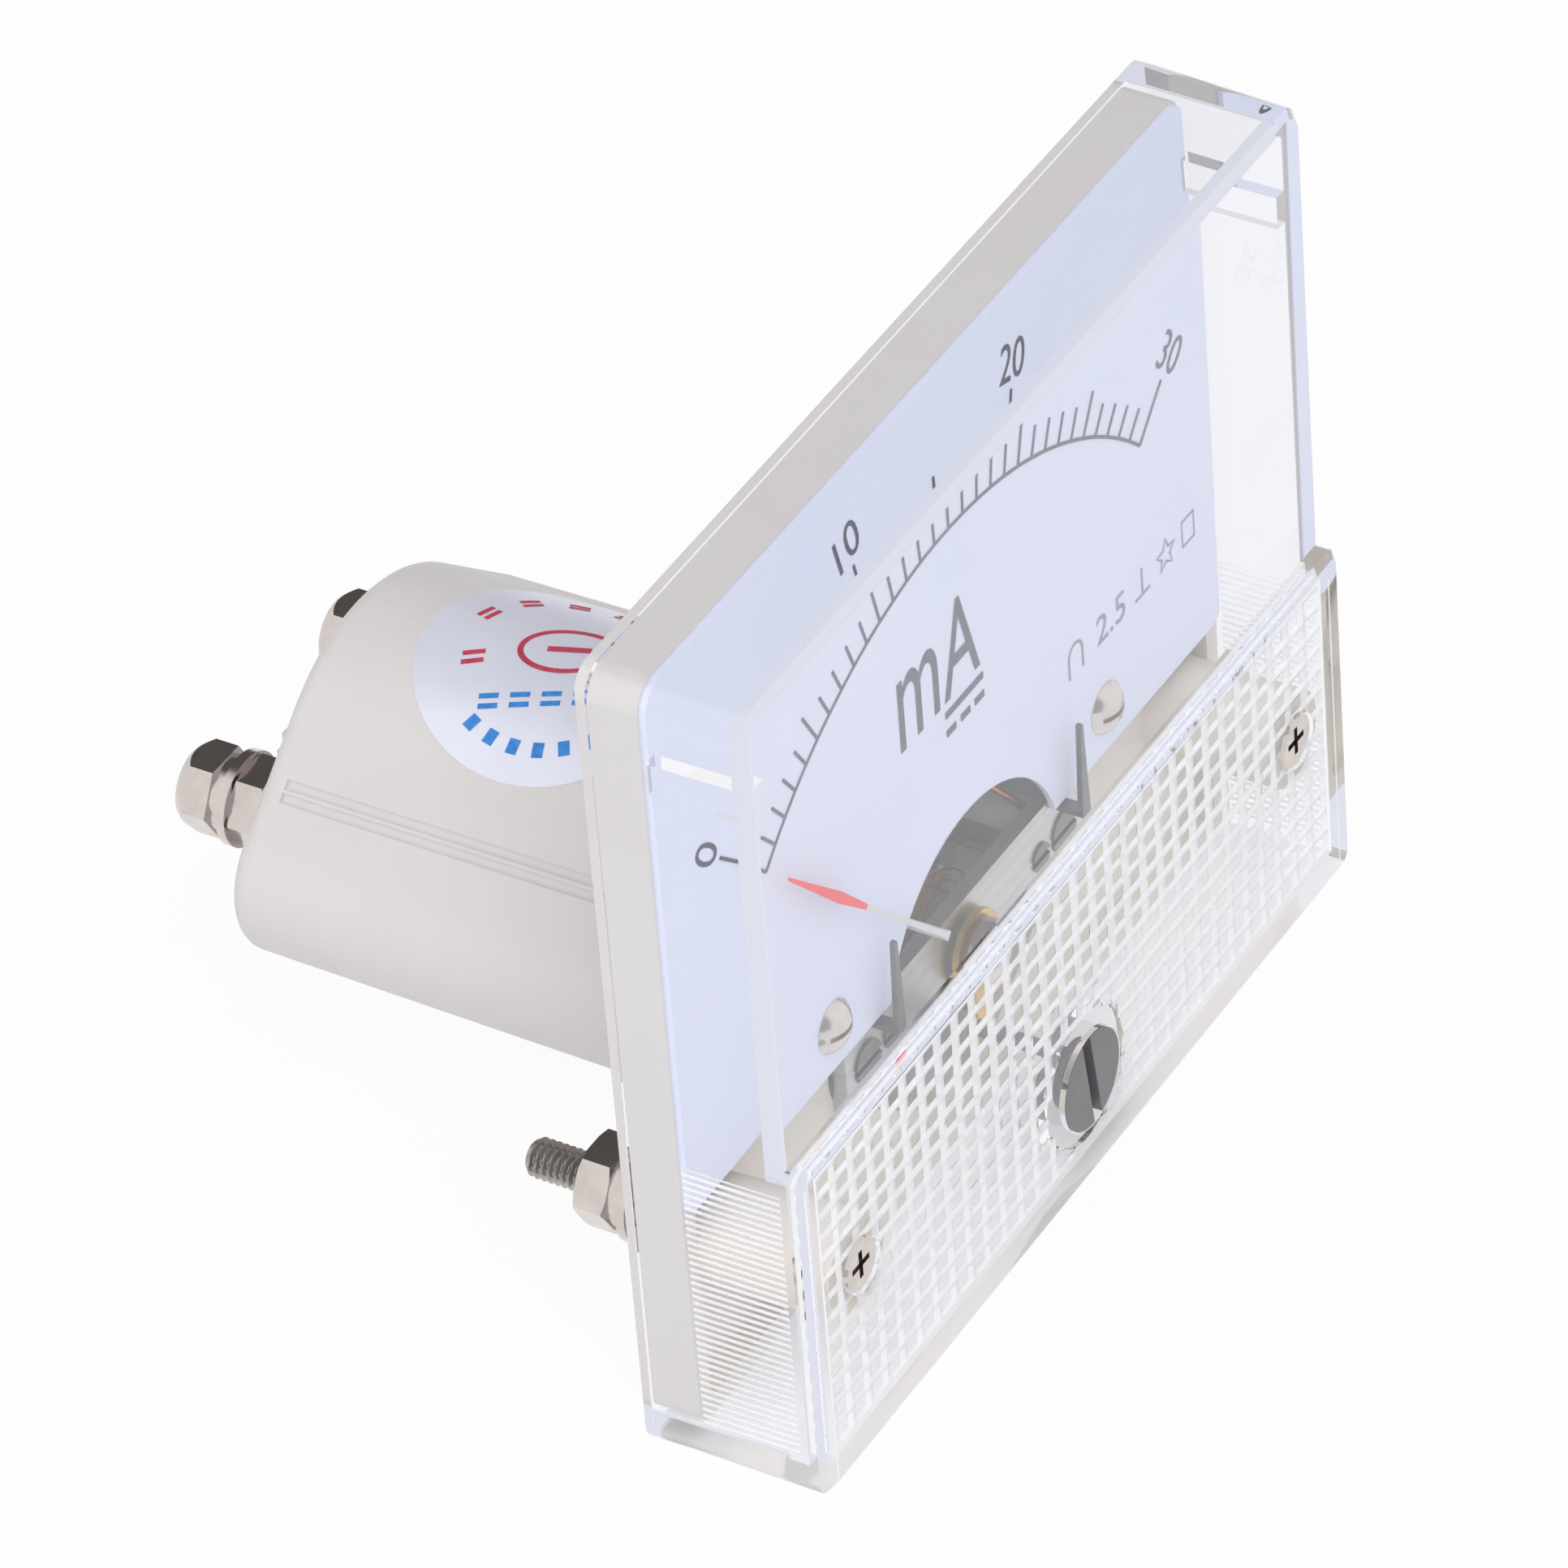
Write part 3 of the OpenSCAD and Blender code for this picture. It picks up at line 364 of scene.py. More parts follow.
# Raised plus and minus marks on the rear wall tell the two terminals apart. Each bar stands half
# its depth out of the wall, and the upright bar of the plus stands a little further out.
terminal_low, terminal_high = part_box("terminal_inserts")
sign_z = (terminal_low[2] + terminal_high[2]) / 2 + 5.2 * mm
plus, minus = [-8 * mm, base_high[1], sign_z], [8 * mm, base_high[1], sign_z]
bar = [2 * mm, 0.6 * mm, 0.5 * mm]
upright_bar = [0.5 * mm, 0.66 * mm, 2 * mm]
sign_points, sign_faces = boxes(np.array([plus, plus, minus]), np.array([bar, upright_bar, bar]))
solid("pole_signs", sign_points, sign_faces, cream, "case")


# ---------- Studs and their hardware ----------
# Two M2.5 steel studs are moulded into the flange, with a rolled thread behind a plain shank.
# Nuts, washers and bolts are nickel plated: bright, a little warm, with marks from tumbling.

def plated(name, tone, shadow, low, high, depth):
    """Metal with two close tones, a roughness that wanders from low to high and tiny dents."""
    material, tree, shader, _ = new_material(name)
    colour = two_tones(tree, cloud(tree, 700.0, 0.0, 1.0), tone, shadow)
    tree.links.new(colour, shader.inputs["Base Color"])
    shader.inputs["Metallic"].default_value = 1.0
    tree.links.new(cloud(tree, 1500.0, low, high), shader.inputs["Roughness"])
    grain(tree, shader, cloud(tree, 3000.0, 0.0, 1.0), depth)
    return material


nickel = plated(
    "nickel", paint(0.86, 0.82, 0.80), paint(0.80, 0.77, 0.75), low=0.12, high=0.22, depth=0.008 * mm)
for hardware in (
    "stud_washers", "stud_spring_washers", "stud_nuts", "terminal_washers", "terminal_nuts",
    "terminal_spring_washers", "terminal_bolts", "dial_screws", "cover_screws", "front_jewel_screw",
):
    dress(hardware, nickel)


rolled_steel = plated(
    "rolled_steel", paint(0.72, 0.70, 0.68), paint(0.62, 0.60, 0.58), 0.18, 0.3, 0.01 * mm)
stud_low, stud_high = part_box("mounting_studs")
head_r = 2.3 * mm
shank_r = 1.25 * mm


def tube_faces(rows, around):
    """Quads between the rows of points of a round bar, each row a full turn."""
    row, turn = np.meshgrid(np.arange(rows - 1), np.arange(around), indexing="ij")
    after = (turn + 1) % around
    quads = np.stack([row * around + turn, row * around + after,
                      (row + 1) * around + after, (row + 1) * around + turn], axis=-1)
    return quads.reshape(-1, 4)


def stud_points(around=40, pitch=0.45 * mm):
    """A turned stud along Y, with a head sunk in the flange and a plain shank. On the thread the
    radius at height y and turn t is crest - depth * tooth, where tooth runs from 0 to 1 and back
    over y / pitch - t. The tip is chamfered and the groove fades in over the first half turn."""
    start, tip = 2.2 * mm, stud_high[1]
    crest, depth = 1.23 * mm, 0.26 * mm
    heights = np.linspace(start, tip, int((tip - start) / pitch * 9) + 1)
    turns = np.arange(around) / around
    phase = (heights[:, None] / pitch - turns[None, :]) % 1.0
    tooth = np.clip(1.35 * (1.0 - np.abs(2.0 * phase - 1.0)) - 0.15, 0.0, 1.0)
    fade = np.clip((heights - start) / (0.5 * pitch), 0.0, 1.0)[:, None]
    thread = crest - depth * tooth * fade
    chamfer = 0.35 * mm
    thread = np.minimum(thread, crest - chamfer + (tip - heights)[:, None])
    lathe = np.array([[stud_low[1], 0.0], [stud_low[1], head_r], [0.0, head_r], [0.0, shank_r],
                      [start, shank_r]])
    radius = np.vstack([np.repeat(lathe[:, 1:], around, axis=1), thread, np.zeros((1, around))])
    height = np.concatenate([lathe[:, 0], heights, [tip]])
    angle = 2.0 * np.pi * turns
    middle = (stud_low[2] + stud_high[2]) / 2
    points = np.stack([radius * np.cos(angle), np.broadcast_to(height[:, None], radius.shape),
                       middle + radius * np.sin(angle)], axis=-1)
    return points.reshape(-1, 3), tube_faces(len(height), around)


one_stud, stud_faces = stud_points()
aside = np.array([stud_high[0] - head_r, 0.0, 0.0])
studs = solid(
    "threaded_studs", np.vstack([one_stud - aside, one_stud + aside]),
    np.vstack([stud_faces, stud_faces + len(one_stud)]), rolled_steel, "case")
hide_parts("mounting_studs")


# ---------- Wiring in the barrel ----------
# Brass bushes and tags carry the terminals; enamelled copper wires run to the two hairsprings.
# The shunt is copper alloy wire wound on a former.

brass = plated("brass", paint(0.84, 0.70, 0.36), paint(0.76, 0.60, 0.28), 0.2, 0.36, 0.008 * mm)
for turned_part in (
    "terminal_inserts", "solder_tags", "bridge_pillars", "core_supports", "rear_pillars",
    "rear_screws", "rear_jewel_screw", "balance_weights", "zero_fork",
):
    dress(turned_part, brass)


def wound_wire(name, tone, shadow, pitch, lean):
    """Enamelled copper with the fine ridges of a winding: sin(20 * scale * q) along q, the place
    across the wires, which lean about Y."""
    material, tree, shader, _ = new_material(name)
    colour = two_tones(tree, cloud(tree, 900.0, 0.0, 1.0), tone, shadow)
    tree.links.new(colour, shader.inputs["Base Color"])
    shader.inputs["Metallic"].default_value = 1.0
    tree.links.new(cloud(tree, 1500.0, 0.22, 0.4), shader.inputs["Roughness"])
    where = tree.nodes.new("ShaderNodeTexCoord")
    turn = tree.nodes.new("ShaderNodeMapping")
    turn.inputs["Rotation"].default_value = (0.0, lean, 0.0)
    wires = tree.nodes.new("ShaderNodeTexWave")
    wires.bands_direction = "Z"
    wires.inputs["Scale"].default_value = 2.0 * math.pi / (20.0 * pitch)
    tree.links.new(where.outputs["Object"], turn.inputs["Vector"])
    tree.links.new(turn.outputs["Vector"], wires.inputs["Vector"])
    grain(tree, shader, wires.outputs["Fac"], 0.03 * mm)
    return material


copper_tones = (paint(0.86, 0.58, 0.38), paint(0.72, 0.42, 0.25))
dress("lead_wires", plated("copper_wire", *copper_tones, 0.25, 0.4, 0.01 * mm))
dress("shunt_resistor", plated("shunt_wire", *copper_tones, 0.3, 0.45, 0.01 * mm))
dress("moving_coil", wound_wire("coil_wire", *copper_tones, 0.12 * mm, math.radians(45.0)))


# ---------- Sticker ----------
# A round silvery paper sticker lies on top of the barrel. Its print is generic: an oval ring and
# short red and blue bars on two arcs and in two rows, all turned a little out of line.

def silver_paper():
    """Pearly coated paper: pale lilac, a little metallic, with a soft sheen and faint waves."""
    material, tree, shader, _ = new_material("silver_paper")
    tones = paint(0.90, 0.905, 0.965), paint(0.92, 0.925, 0.98)
    tree.links.new(two_tones(tree, cloud(tree, 250.0, 0.0, 1.0), *tones), shader.inputs["Base Color"])
    shader.inputs["Metallic"].default_value = 0.2
    tree.links.new(cloud(tree, 1200.0, 0.30, 0.40), shader.inputs["Roughness"])
    grain(tree, shader, cloud(tree, 1200.0, 0.0, 1.0, 0.0), 0.0005 * mm)
    return material


def print_ink(name, first, second):
    """Printing ink that lies thin over paper or paint, a little uneven."""
    material, tree, shader, _ = new_material(name)
    colour = two_tones(tree, cloud(tree, 2500.0, 0.0, 1.0), first, second)
    tree.links.new(colour, shader.inputs["Base Color"])
    tree.links.new(cloud(tree, 900.0, 0.4, 0.6), shader.inputs["Roughness"])
    return material


label_low, label_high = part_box("round_label")
sticker_y = (label_low[1] + label_high[1]) / 2
sticker_turn = math.radians(20.5)
axis_z = frame["joints"][0]["pos_m"][2]
barrel_r, barrel_start, barrel_taper = 12.65 * mm, -1.8 * mm, 0.012


def on_barrel(right, up, lift):
    """Places flat sticker points on the barrel. Once turned, the sticker's right runs to the front
    and its up runs round the barrel, whose radius shrinks to the rear. A point at arc length a from
    the top sits at the angle a / radius."""
    front = right * math.cos(sticker_turn) - up * math.sin(sticker_turn)
    arc = right * math.sin(sticker_turn) + up * math.cos(sticker_turn)
    y = sticker_y - front
    radius = barrel_r - barrel_taper * (y - barrel_start) + lift
    angle = arc / radius
    return np.stack([radius * np.sin(angle), y, axis_z + radius * np.cos(angle)], axis=-1)


def paper_disc(radius=9.2 * mm, lift=0.01 * mm, thick=0.08 * mm, rings=10, around=96):
    """A round sheet of even thickness: rings of points at a share of the radius, just above the
    barrel and a thickness higher, closed round the rim."""
    share = np.append(np.linspace(0.0, 1.0, rings), np.linspace(1.0, 0.0, rings))[:, None]
    lifts = np.append(np.full(rings, lift), np.full(rings, lift + thick))[:, None]
    angle = 2.0 * np.pi * np.arange(around)[None, :] / around
    points = on_barrel(radius * share * np.cos(angle), radius * share * np.sin(angle), lifts)
    return points.reshape(-1, 3), tube_faces(2 * rings, around)


sticker = solid("sticker", *paper_disc(), silver_paper(), "case")
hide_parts("round_label")


def marks(name, rows, material, lift=0.11 * mm):
    """Thin printed bars on the sticker. Each row holds the middle (right, up), width, height and
    turn in degrees; each bar is a 5 x 5 grid u, v from -1/2 to 1/2 laid at the middle plus
    (u * width, v * height) turned."""
    right, up, width, height, turn = (column[:, None, None] for column in np.array(rows).T)
    u, v = np.meshgrid(np.linspace(-0.5, 0.5, 5), np.linspace(-0.5, 0.5, 5))
    cosine, sine = np.cos(np.radians(turn)), np.sin(np.radians(turn))
    across = right + u * width * cosine - v * height * sine
    along = up + u * width * sine + v * height * cosine
    points = on_barrel(across * mm, along * mm, lift).reshape(-1, 3)
    corner = (np.arange(4)[:, None] * 5 + np.arange(4)[None, :]).ravel()
    faces = corner[:, None] + np.array([0, 1, 6, 5])
    faces = (faces[None, :, :] + 25 * np.arange(len(rows))[:, None, None]).reshape(-1, 4)
    printed = solid(name, points, faces, material, "case")


def arc_bars(radius, angles, width, height):
    """Rows of bars that stand upright on an arc, at angles in degrees."""
    return [(radius * math.cos(math.radians(degrees)), radius * math.sin(math.radians(degrees)),
             width, height, degrees - 90.0) for degrees in angles]


def ring_bars(up, half_width, half_height, width, height, count):
    """Rows of bars end to end on an oval (half_width * cos t, up + half_height * sin t), each along
    the oval's course there. The last bar lies on the first."""
    return [(half_width * math.cos(t), up + half_height * math.sin(t), width, height,
             math.degrees(math.atan2(half_height * math.cos(t), -half_width * math.sin(t))))
            for t in np.linspace(0.0, 2.0 * math.pi, count)]


red_ink = print_ink("red_ink", paint(0.80, 0.28, 0.38), paint(0.74, 0.22, 0.32))
blue_ink = print_ink("blue_ink", paint(0.25, 0.58, 0.88), paint(0.18, 0.48, 0.80))
red_angles = (44.0, 69.0, 94.0, 119.0, 144.0)
red_rows = arc_bars(6.35, red_angles, 1.25, 0.34) + arc_bars(6.95, red_angles, 1.25, 0.34)
red_rows += [(side * 5.6, up, 1.35, 0.36, 8.0) for side in (-1, 1) for up in (-0.55, 0.15)]
red_rows += ring_bars(0.6, 2.9, 1.95, 0.3, 0.36, 60)
red_rows += [(0.0, 0.6, 2.6, 0.5, 0.0)]
marks("sticker_red", red_rows, red_ink)
blue_rows = arc_bars(7.0, np.linspace(-136.0, -44.0, 8), 0.7, 0.95)
blue_rows += [(middle, -3.5 + step, 1.2, 0.36, 0.0)
              for middle in (-4.2, -2.3, -0.4, 1.5, 3.4) for step in (-0.35, 0.35)]
marks("sticker_blue", blue_rows, blue_ink)


# ---------- Movement ----------
# Brushed steel plates on brass pillars hold the soft iron ring and its round magnet. The copper
# coil on an aluminium frame turns between them on steel pivots in ruby jewels.

def brushed(name, tone, shadow, low, high):
    """Sheet metal with fine brush marks along X, from noise stretched along it."""
    material, tree, shader, _ = new_material(name)
    streaks = cloud(tree, 900.0, 0.0, 1.0, 4.0, (0.06, 1.0, 2.0))
    tree.links.new(two_tones(tree, streaks, tone, shadow), shader.inputs["Base Color"])
    shader.inputs["Metallic"].default_value = 1.0
    tree.links.new(cloud(tree, 1800.0, low, high, 3.0, (0.06, 1.0, 2.0)), shader.inputs["Roughness"])
    grain(tree, shader, streaks, 0.01 * mm)
    return material


steel = brushed("steel_sheet", paint(0.80, 0.80, 0.80), paint(0.74, 0.74, 0.74), 0.3, 0.45)
for pressed_part in ("front_bridge", "rear_bridge", "front_spindle", "rear_spindle"):
    dress(pressed_part, steel)

dark_steel = brushed("dark_steel", paint(0.50, 0.50, 0.49), paint(0.44, 0.44, 0.43), 0.35, 0.5)
for dark_part in ("needle_stops", "bridge_screws"):
    dress(dark_part, dark_steel)

iron = plated("soft_iron", paint(0.66, 0.67, 0.67), paint(0.58, 0.59, 0.59), 0.4, 0.6, 0.02 * mm)
for magnetic_part in ("yoke_ring", "core_magnet"):
    dress(magnetic_part, iron)

aluminium = plated("aluminium", paint(0.88, 0.88, 0.88), paint(0.82, 0.82, 0.83), 0.25, 0.4, 0.006 * mm)
for light_part in ("coil_former", "balance_arms"):
    dress(light_part, aluminium)

bronze = plated("bronze_strip", paint(0.84, 0.66, 0.38), paint(0.76, 0.56, 0.30), 0.2, 0.3, 0.003 * mm)
for spiral in ("front_hairspring", "rear_hairspring"):
    dress(spiral, bronze)


def ruby():
    """Synthetic ruby: deep pink, polished, with faint clouds inside."""
    material, tree, shader, _ = new_material("ruby")
    tones = paint(0.85, 0.30, 0.45), paint(0.75, 0.20, 0.35)
    tree.links.new(two_tones(tree, cloud(tree, 2500.0, 0.0, 1.0), *tones), shader.inputs["Base Color"])
    shader.inputs["Roughness"].default_value = 0.08
    shader.inputs["Coat Weight"].default_value = 0.6
    return material


jewel_red = ruby()
for jewel in ("front_jewel", "rear_jewel"):
    dress(jewel, jewel_red)


# ---------- Dial ----------
# The dial is an aluminium sheet painted pale blue, with dark grey printing. The scale line comes
# with the solids; numerals, unit and the usual meter signs are thin flat sheets of ink over it.

dial_blue = moulded_plastic(
    "dial_blue", paint(0.885, 0.91, 0.995), paint(0.90, 0.92, 1.0), 0.5, 0.62, 0.004 * mm)
dress("dial_plate", dial_blue)
ink = print_ink("dial_ink", paint(0.27, 0.29, 0.34), paint(0.33, 0.35, 0.39))
dress("scale_print", ink)
pale_ink = print_ink("pale_ink", paint(0.50, 0.53, 0.60), paint(0.56, 0.59, 0.66))
dial_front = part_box("dial_plate")[0][1]


def word(text, width, height):
    """A flat word as a mesh, its middle at 0, 0, stretched to width x height."""
    curve = bpy.data.curves.new("word", "FONT")
    curve.body = text
    curve.resolution_u = 4
    letters = bpy.data.objects.new("word", curve)
    bpy.context.collection.objects.link(letters)
    bpy.context.view_layer.update()
    mesh = bpy.data.meshes.new_from_object(letters.evaluated_get(bpy.context.evaluated_depsgraph_get()))
    bpy.data.objects.remove(letters)
    flat = np.empty(3 * len(mesh.vertices))
    mesh.vertices.foreach_get("co", flat)
    points = flat.reshape(-1, 3)
    low, high = points.min(axis=0), points.max(axis=0)
    points = (points - (low + high) / 2) / np.maximum(high - low, 1e-9) * [width, height, 0.0]
    mesh.vertices.foreach_set("co", points.ravel())
    return mesh


def outline(points, stroke):
    """A closed flat line of a given stroke through corner points: two copies of the outline, grown
    and shrunk about its middle by half the stroke, joined by quads."""
    corners = np.array(points, dtype=float)
    middle = corners.mean(axis=0)
    reach = np.linalg.norm(corners - middle, axis=1, keepdims=True)
    outer = middle + (corners - middle) * (1 + stroke / 2 / reach)
    inner = middle + (corners - middle) * (1 - stroke / 2 / reach)
    count = len(corners)
    here = np.arange(count)
    after = (here + 1) % count
    faces = np.stack([here, after, count + after, count + here], axis=-1)
    mesh = bpy.data.meshes.new("outline")
    mesh.from_pydata(np.pad(np.vstack([outer, inner]), ((0, 0), (0, 1))).tolist(), [], faces.tolist())
    return mesh


def strip(points, stroke):
    """An open flat line of a given stroke through points, widened along its own normal."""
    line = np.array(points, dtype=float)
    course = np.gradient(line, axis=0)
    normal = np.stack([-course[:, 1], course[:, 0]], axis=-1)
    normal /= np.linalg.norm(normal, axis=1, keepdims=True)
    sides = np.vstack([line + normal * stroke / 2, line - normal * stroke / 2])
    here = np.arange(len(line) - 1)
    faces = np.stack([here, len(line) + here, len(line) + here + 1, here + 1], axis=-1)
    mesh = bpy.data.meshes.new("strip")
    mesh.from_pydata(np.pad(sides, ((0, 0), (0, 1))).tolist(), [], faces.tolist())
    return mesh


def print_on_dial(name, flat_meshes, material, lift=0.03):
    """Joins flat meshes in millimetres, each with its place (x, z) and its turn clockwise in
    degrees, into one sheet of ink just over the dial, facing the reader."""
    shape = bmesh.new()
    for mesh, x, z, degrees in flat_meshes:
        turn = math.radians(degrees)
        place = Matrix((
            (math.cos(turn), math.sin(turn), 0.0, x),
            (0.0, 0.0, -1.0, dial_front / mm - lift),
            (-math.sin(turn), math.cos(turn), 0.0, z),
            (0.0, 0.0, 0.0, 1.0)))
        mesh.transform(Matrix.Scale(mm, 4) @ place)
        shape.from_mesh(mesh)
    whole = bpy.data.meshes.new(name)
    shape.to_mesh(whole)
    shape.free()
    whole.materials.append(material)
    piece = bpy.data.objects.new(name, whole)
    bpy.context.collection.objects.link(piece)
    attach(piece, "case")


numeral_reach, numeral_height = 36.2, 2.4
numerals = []
for text, width, degrees in (("0", 1.35, -45.0), ("10", 2.5, -15.0), ("20", 2.75, 15.0), ("30", 2.75, 45.0)):
    lean = math.radians(degrees)
    right = numeral_reach * math.sin(lean)
    up = axis_z / mm + numeral_reach * math.cos(lean)
    numerals.append((word(text, width, numeral_height), right, up, degrees))
print_on_dial("numerals", numerals, ink)
letters = [(word("m", 4.46, 5.0), -4.43, 8.1, 0.0), (word("A", 4.1, 6.3), 0.37, 8.75, 0.0)]
print_on_dial("unit", letters, ink)

# The signs stand in one row: moving coil horseshoe, accuracy class, upright use, star and frame.
row_z, stroke = -1.5, 0.2
bend = np.linspace(math.pi, 0.0, 13)
arch = np.stack([0.8 * np.cos(bend), 0.3 + 0.8 * np.sin(bend)], axis=-1)
horseshoe = np.vstack([[-0.8, -1.1], arch, [0.8, -1.1]])
star_turn = math.pi / 2 + np.arange(10) * math.pi / 5
star_reach = np.where(np.arange(10) % 2 == 0, 1.15, 0.5)
star = np.stack([star_reach * np.cos(star_turn), star_reach * np.sin(star_turn)], axis=-1)
print_on_dial("meter_signs", [
    (strip(horseshoe, stroke), 13.0, row_z, 0.0),
    (word("2.5", 3.4, 2.0), 17.2, row_z, 0.0),
    (strip([[0.0, -0.8], [0.0, 1.0]], stroke), 21.0, row_z, 0.0),
    (strip([[-0.9, -0.9], [0.9, -0.9]], stroke), 21.0, row_z, 0.0),
    (outline(star, stroke), 23.9, row_z, 0.0),
    (outline([[-0.7, -0.9], [0.7, -0.9], [0.7, 0.9], [-0.7, 0.9]], stroke), 26.6, row_z, 0.0),
], pale_ink)


# ---------- Needle ----------
# The needle is aluminium, bare along its stem, with red paint on the spear at its end. The paint
# starts at a fixed reach from the needle's axis.

def needle_finish(red_from):
    """Red paint beyond a reach from the axis, measured on Object coordinates at rest."""
    material, tree, shader, _ = new_material("needle_paint")
    where = tree.nodes.new("ShaderNodeTexCoord")
    centre = tree.nodes.new("ShaderNodeMapping")
    centre.inputs["Location"].default_value = (0.0, 0.0, -axis_z)
    centre.inputs["Scale"].default_value = (1.0, 0.0, 1.0)
    tree.links.new(where.outputs["Object"], centre.inputs["Vector"])
    reach = tree.nodes.new("ShaderNodeVectorMath")
    reach.operation = "LENGTH"
    tree.links.new(centre.outputs["Vector"], reach.inputs[0])
    painted = maths(tree, "GREATER_THAN", reach.outputs["Value"], red_from)
    colour = two_tones(tree, painted, paint(0.84, 0.84, 0.85), paint(0.98, 0.13, 0.17))
    tree.links.new(colour, shader.inputs["Base Color"])
    tree.links.new(cloud(tree, 1500.0, 0.3, 0.42), shader.inputs["Roughness"])
    return material


dress("needle", needle_finish(19.3 * mm))


# ---------- Zero adjuster ----------
# The adjuster is a slotted disc of grey plastic, turned from the front with a small screwdriver.
# It sits in its boss in the cover and is satin from the mould.

grey = moulded_plastic(
    "grey_plastic", paint(0.47, 0.47, 0.485), paint(0.43, 0.43, 0.445), 0.35, 0.45, 0.004 * mm)
dress("zero_adjuster", grey)


# ---------- Clear cover ----------
# The cover is one moulding of clear plastic. The inner face of its lower band carries a grid of
# crossing V grooves, and the inner sides beside it fine ribs. Both are cut out of the CAD shape.

def clear_plastic(groove_y, rib_x, foot_z, band_top):
    """Polished clear plastic, a little wavy. It is matt below foot_z, in the grooves of the band,
    in front of its inner face at groove_y, and in the ribs, outside the inner faces at rib_x.
    Lamps shine through it without a caustic, and mirrored rays and rays past their fourth turn go
    straight on, so that no light is caught in its walls."""
    material, tree, shader, output = new_material("clear_plastic")
    shader.inputs["Base Color"].default_value = (0.975, 0.975, 0.99, 1.0)
    shader.inputs["IOR"].default_value = 1.49
    tree.links.new(cloud(tree, 300.0, 0.0, 0.03), shader.inputs["Roughness"])
    grain(tree, shader, cloud(tree, 60.0, 0.0, 1.0, 1.0), 0.02 * mm)
    where = tree.nodes.new("ShaderNodeTexCoord")
    split = tree.nodes.new("ShaderNodeSeparateXYZ")
    tree.links.new(where.outputs["Object"], split.inputs["Vector"])
    aside = maths(tree, "ABSOLUTE", split.outputs["X"], 0.0)
    in_band = within(tree, split.outputs["Z"], foot_z, band_top)
    grooved = within(tree, split.outputs["Y"], groove_y - 0.45 * mm, groove_y - 0.03 * mm)
    between_ribs = within(tree, aside, -mm, rib_x)
    in_grooves = maths(tree, "MULTIPLY", maths(tree, "MULTIPLY", grooved, in_band), between_ribs)
    ribbed = within(tree, aside, rib_x + 0.01 * mm, rib_x + 0.2 * mm)
    in_ribs = maths(tree, "MULTIPLY", ribbed, in_band)
    in_foot = within(tree, split.outputs["Z"], foot_z - mm, foot_z)
    matt = maths(tree, "MAXIMUM", maths(tree, "MAXIMUM", in_grooves, in_ribs), in_foot)
    clear = tree.nodes.new("ShaderNodeMapRange")
    clear.inputs["To Min"].default_value = 1.0
    clear.inputs["To Max"].default_value = 0.25
    tree.links.new(matt, clear.inputs["Value"])
    tree.links.new(clear.outputs["Result"], shader.inputs["Transmission Weight"])
    path = tree.nodes.new("ShaderNodeLightPath")
    passing = maths(tree, "GREATER_THAN", path.outputs["Ray Depth"], 4.5)
    for kind in (path.outputs["Is Diffuse Ray"], path.outputs["Is Shadow Ray"], mirrored_ray(tree, path)):
        passing = maths(tree, "MAXIMUM", passing, kind)
    open_air = tree.nodes.new("ShaderNodeBsdfTransparent")
    tree.links.new(
        two_shaders(tree, passing, shader.outputs[0], open_air.outputs[0]), output.inputs["Surface"])
    return material


def sunk_block(u, v, face, back, kept):
    """A closed block over the grid lines u x v: its face is a height for each grid point, its back
    is flat, and only the kept cells are there. Walls close it where a kept cell has no neighbour.
    Returns points (u, v, height) and quads."""
    columns = len(v)
    count = len(u) * columns
    grid_u, grid_v = np.meshgrid(u, v, indexing="ij")
    front = np.stack([grid_u, grid_v, face], axis=-1).reshape(-1, 3)
    rear = np.stack([grid_u, grid_v, np.full_like(face, back)], axis=-1).reshape(-1, 3)
    row, column = np.nonzero(kept)
    first = row * columns + column
    cells = np.stack([first, first + 1, first + columns + 1, first + columns], axis=-1)
    edges = np.concatenate([cells, np.roll(cells, -1, axis=1)]).reshape(2, -1).T
    _, place, uses = np.unique(np.sort(edges, axis=1), axis=0, return_index=True, return_counts=True)
    rim = edges[place[uses == 1]]
    walls = np.stack([rim[:, 0], rim[:, 1], rim[:, 1] + count, rim[:, 0] + count], axis=-1)
    return np.vstack([front, rear]), np.vstack([cells, cells[:, ::-1] + count, walls])


def grid_lines(start, pitch, cells):
    """Grid lines of a row of grooves, three to a cell: the bottom of the groove and both edges of
    the flat between two grooves. Also returns 0 for a bottom and 1 for an edge."""
    share = np.array([0.0, 0.27, 0.73])
    lines = start + pitch * np.append((np.arange(cells)[:, None] + share).ravel(), cells)
    return lines, (np.arange(3 * cells + 1) % 3 != 0).astype(float)


def pattern_cutter(low_x, top_z, wall_y, adjuster_z):
    """The grid of the band: its depth where a line of either direction is a bottom, and none on
    the flats, which stand proud of the wall. Cells close to the adjuster are left out."""
    pitch_x, pitch_z, cells_x, cells_z = 1.98 * mm, 1.53 * mm, 30, 13
    depth, proud, clear_r = 0.35 * mm, 0.05 * mm, 4.5 * mm
    x, flat_x = grid_lines(low_x, pitch_x, cells_x)
    z, flat_z = grid_lines(top_z - cells_z * pitch_z, pitch_z, cells_z)
    flat = flat_x[:, None] * flat_z[None, :]
    face = wall_y + proud - (depth + proud) * (1.0 - flat)
    middle_x, middle_z = (x[1:] + x[:-1]) / 2, (z[1:] + z[:-1]) / 2
    kept = np.hypot(middle_x[:, None], middle_z[None, :] - adjuster_z) > clear_r
    points, faces = sunk_block(x, z, face, wall_y + 0.3 * mm, kept)
    return points[:, [0, 2, 1]], faces


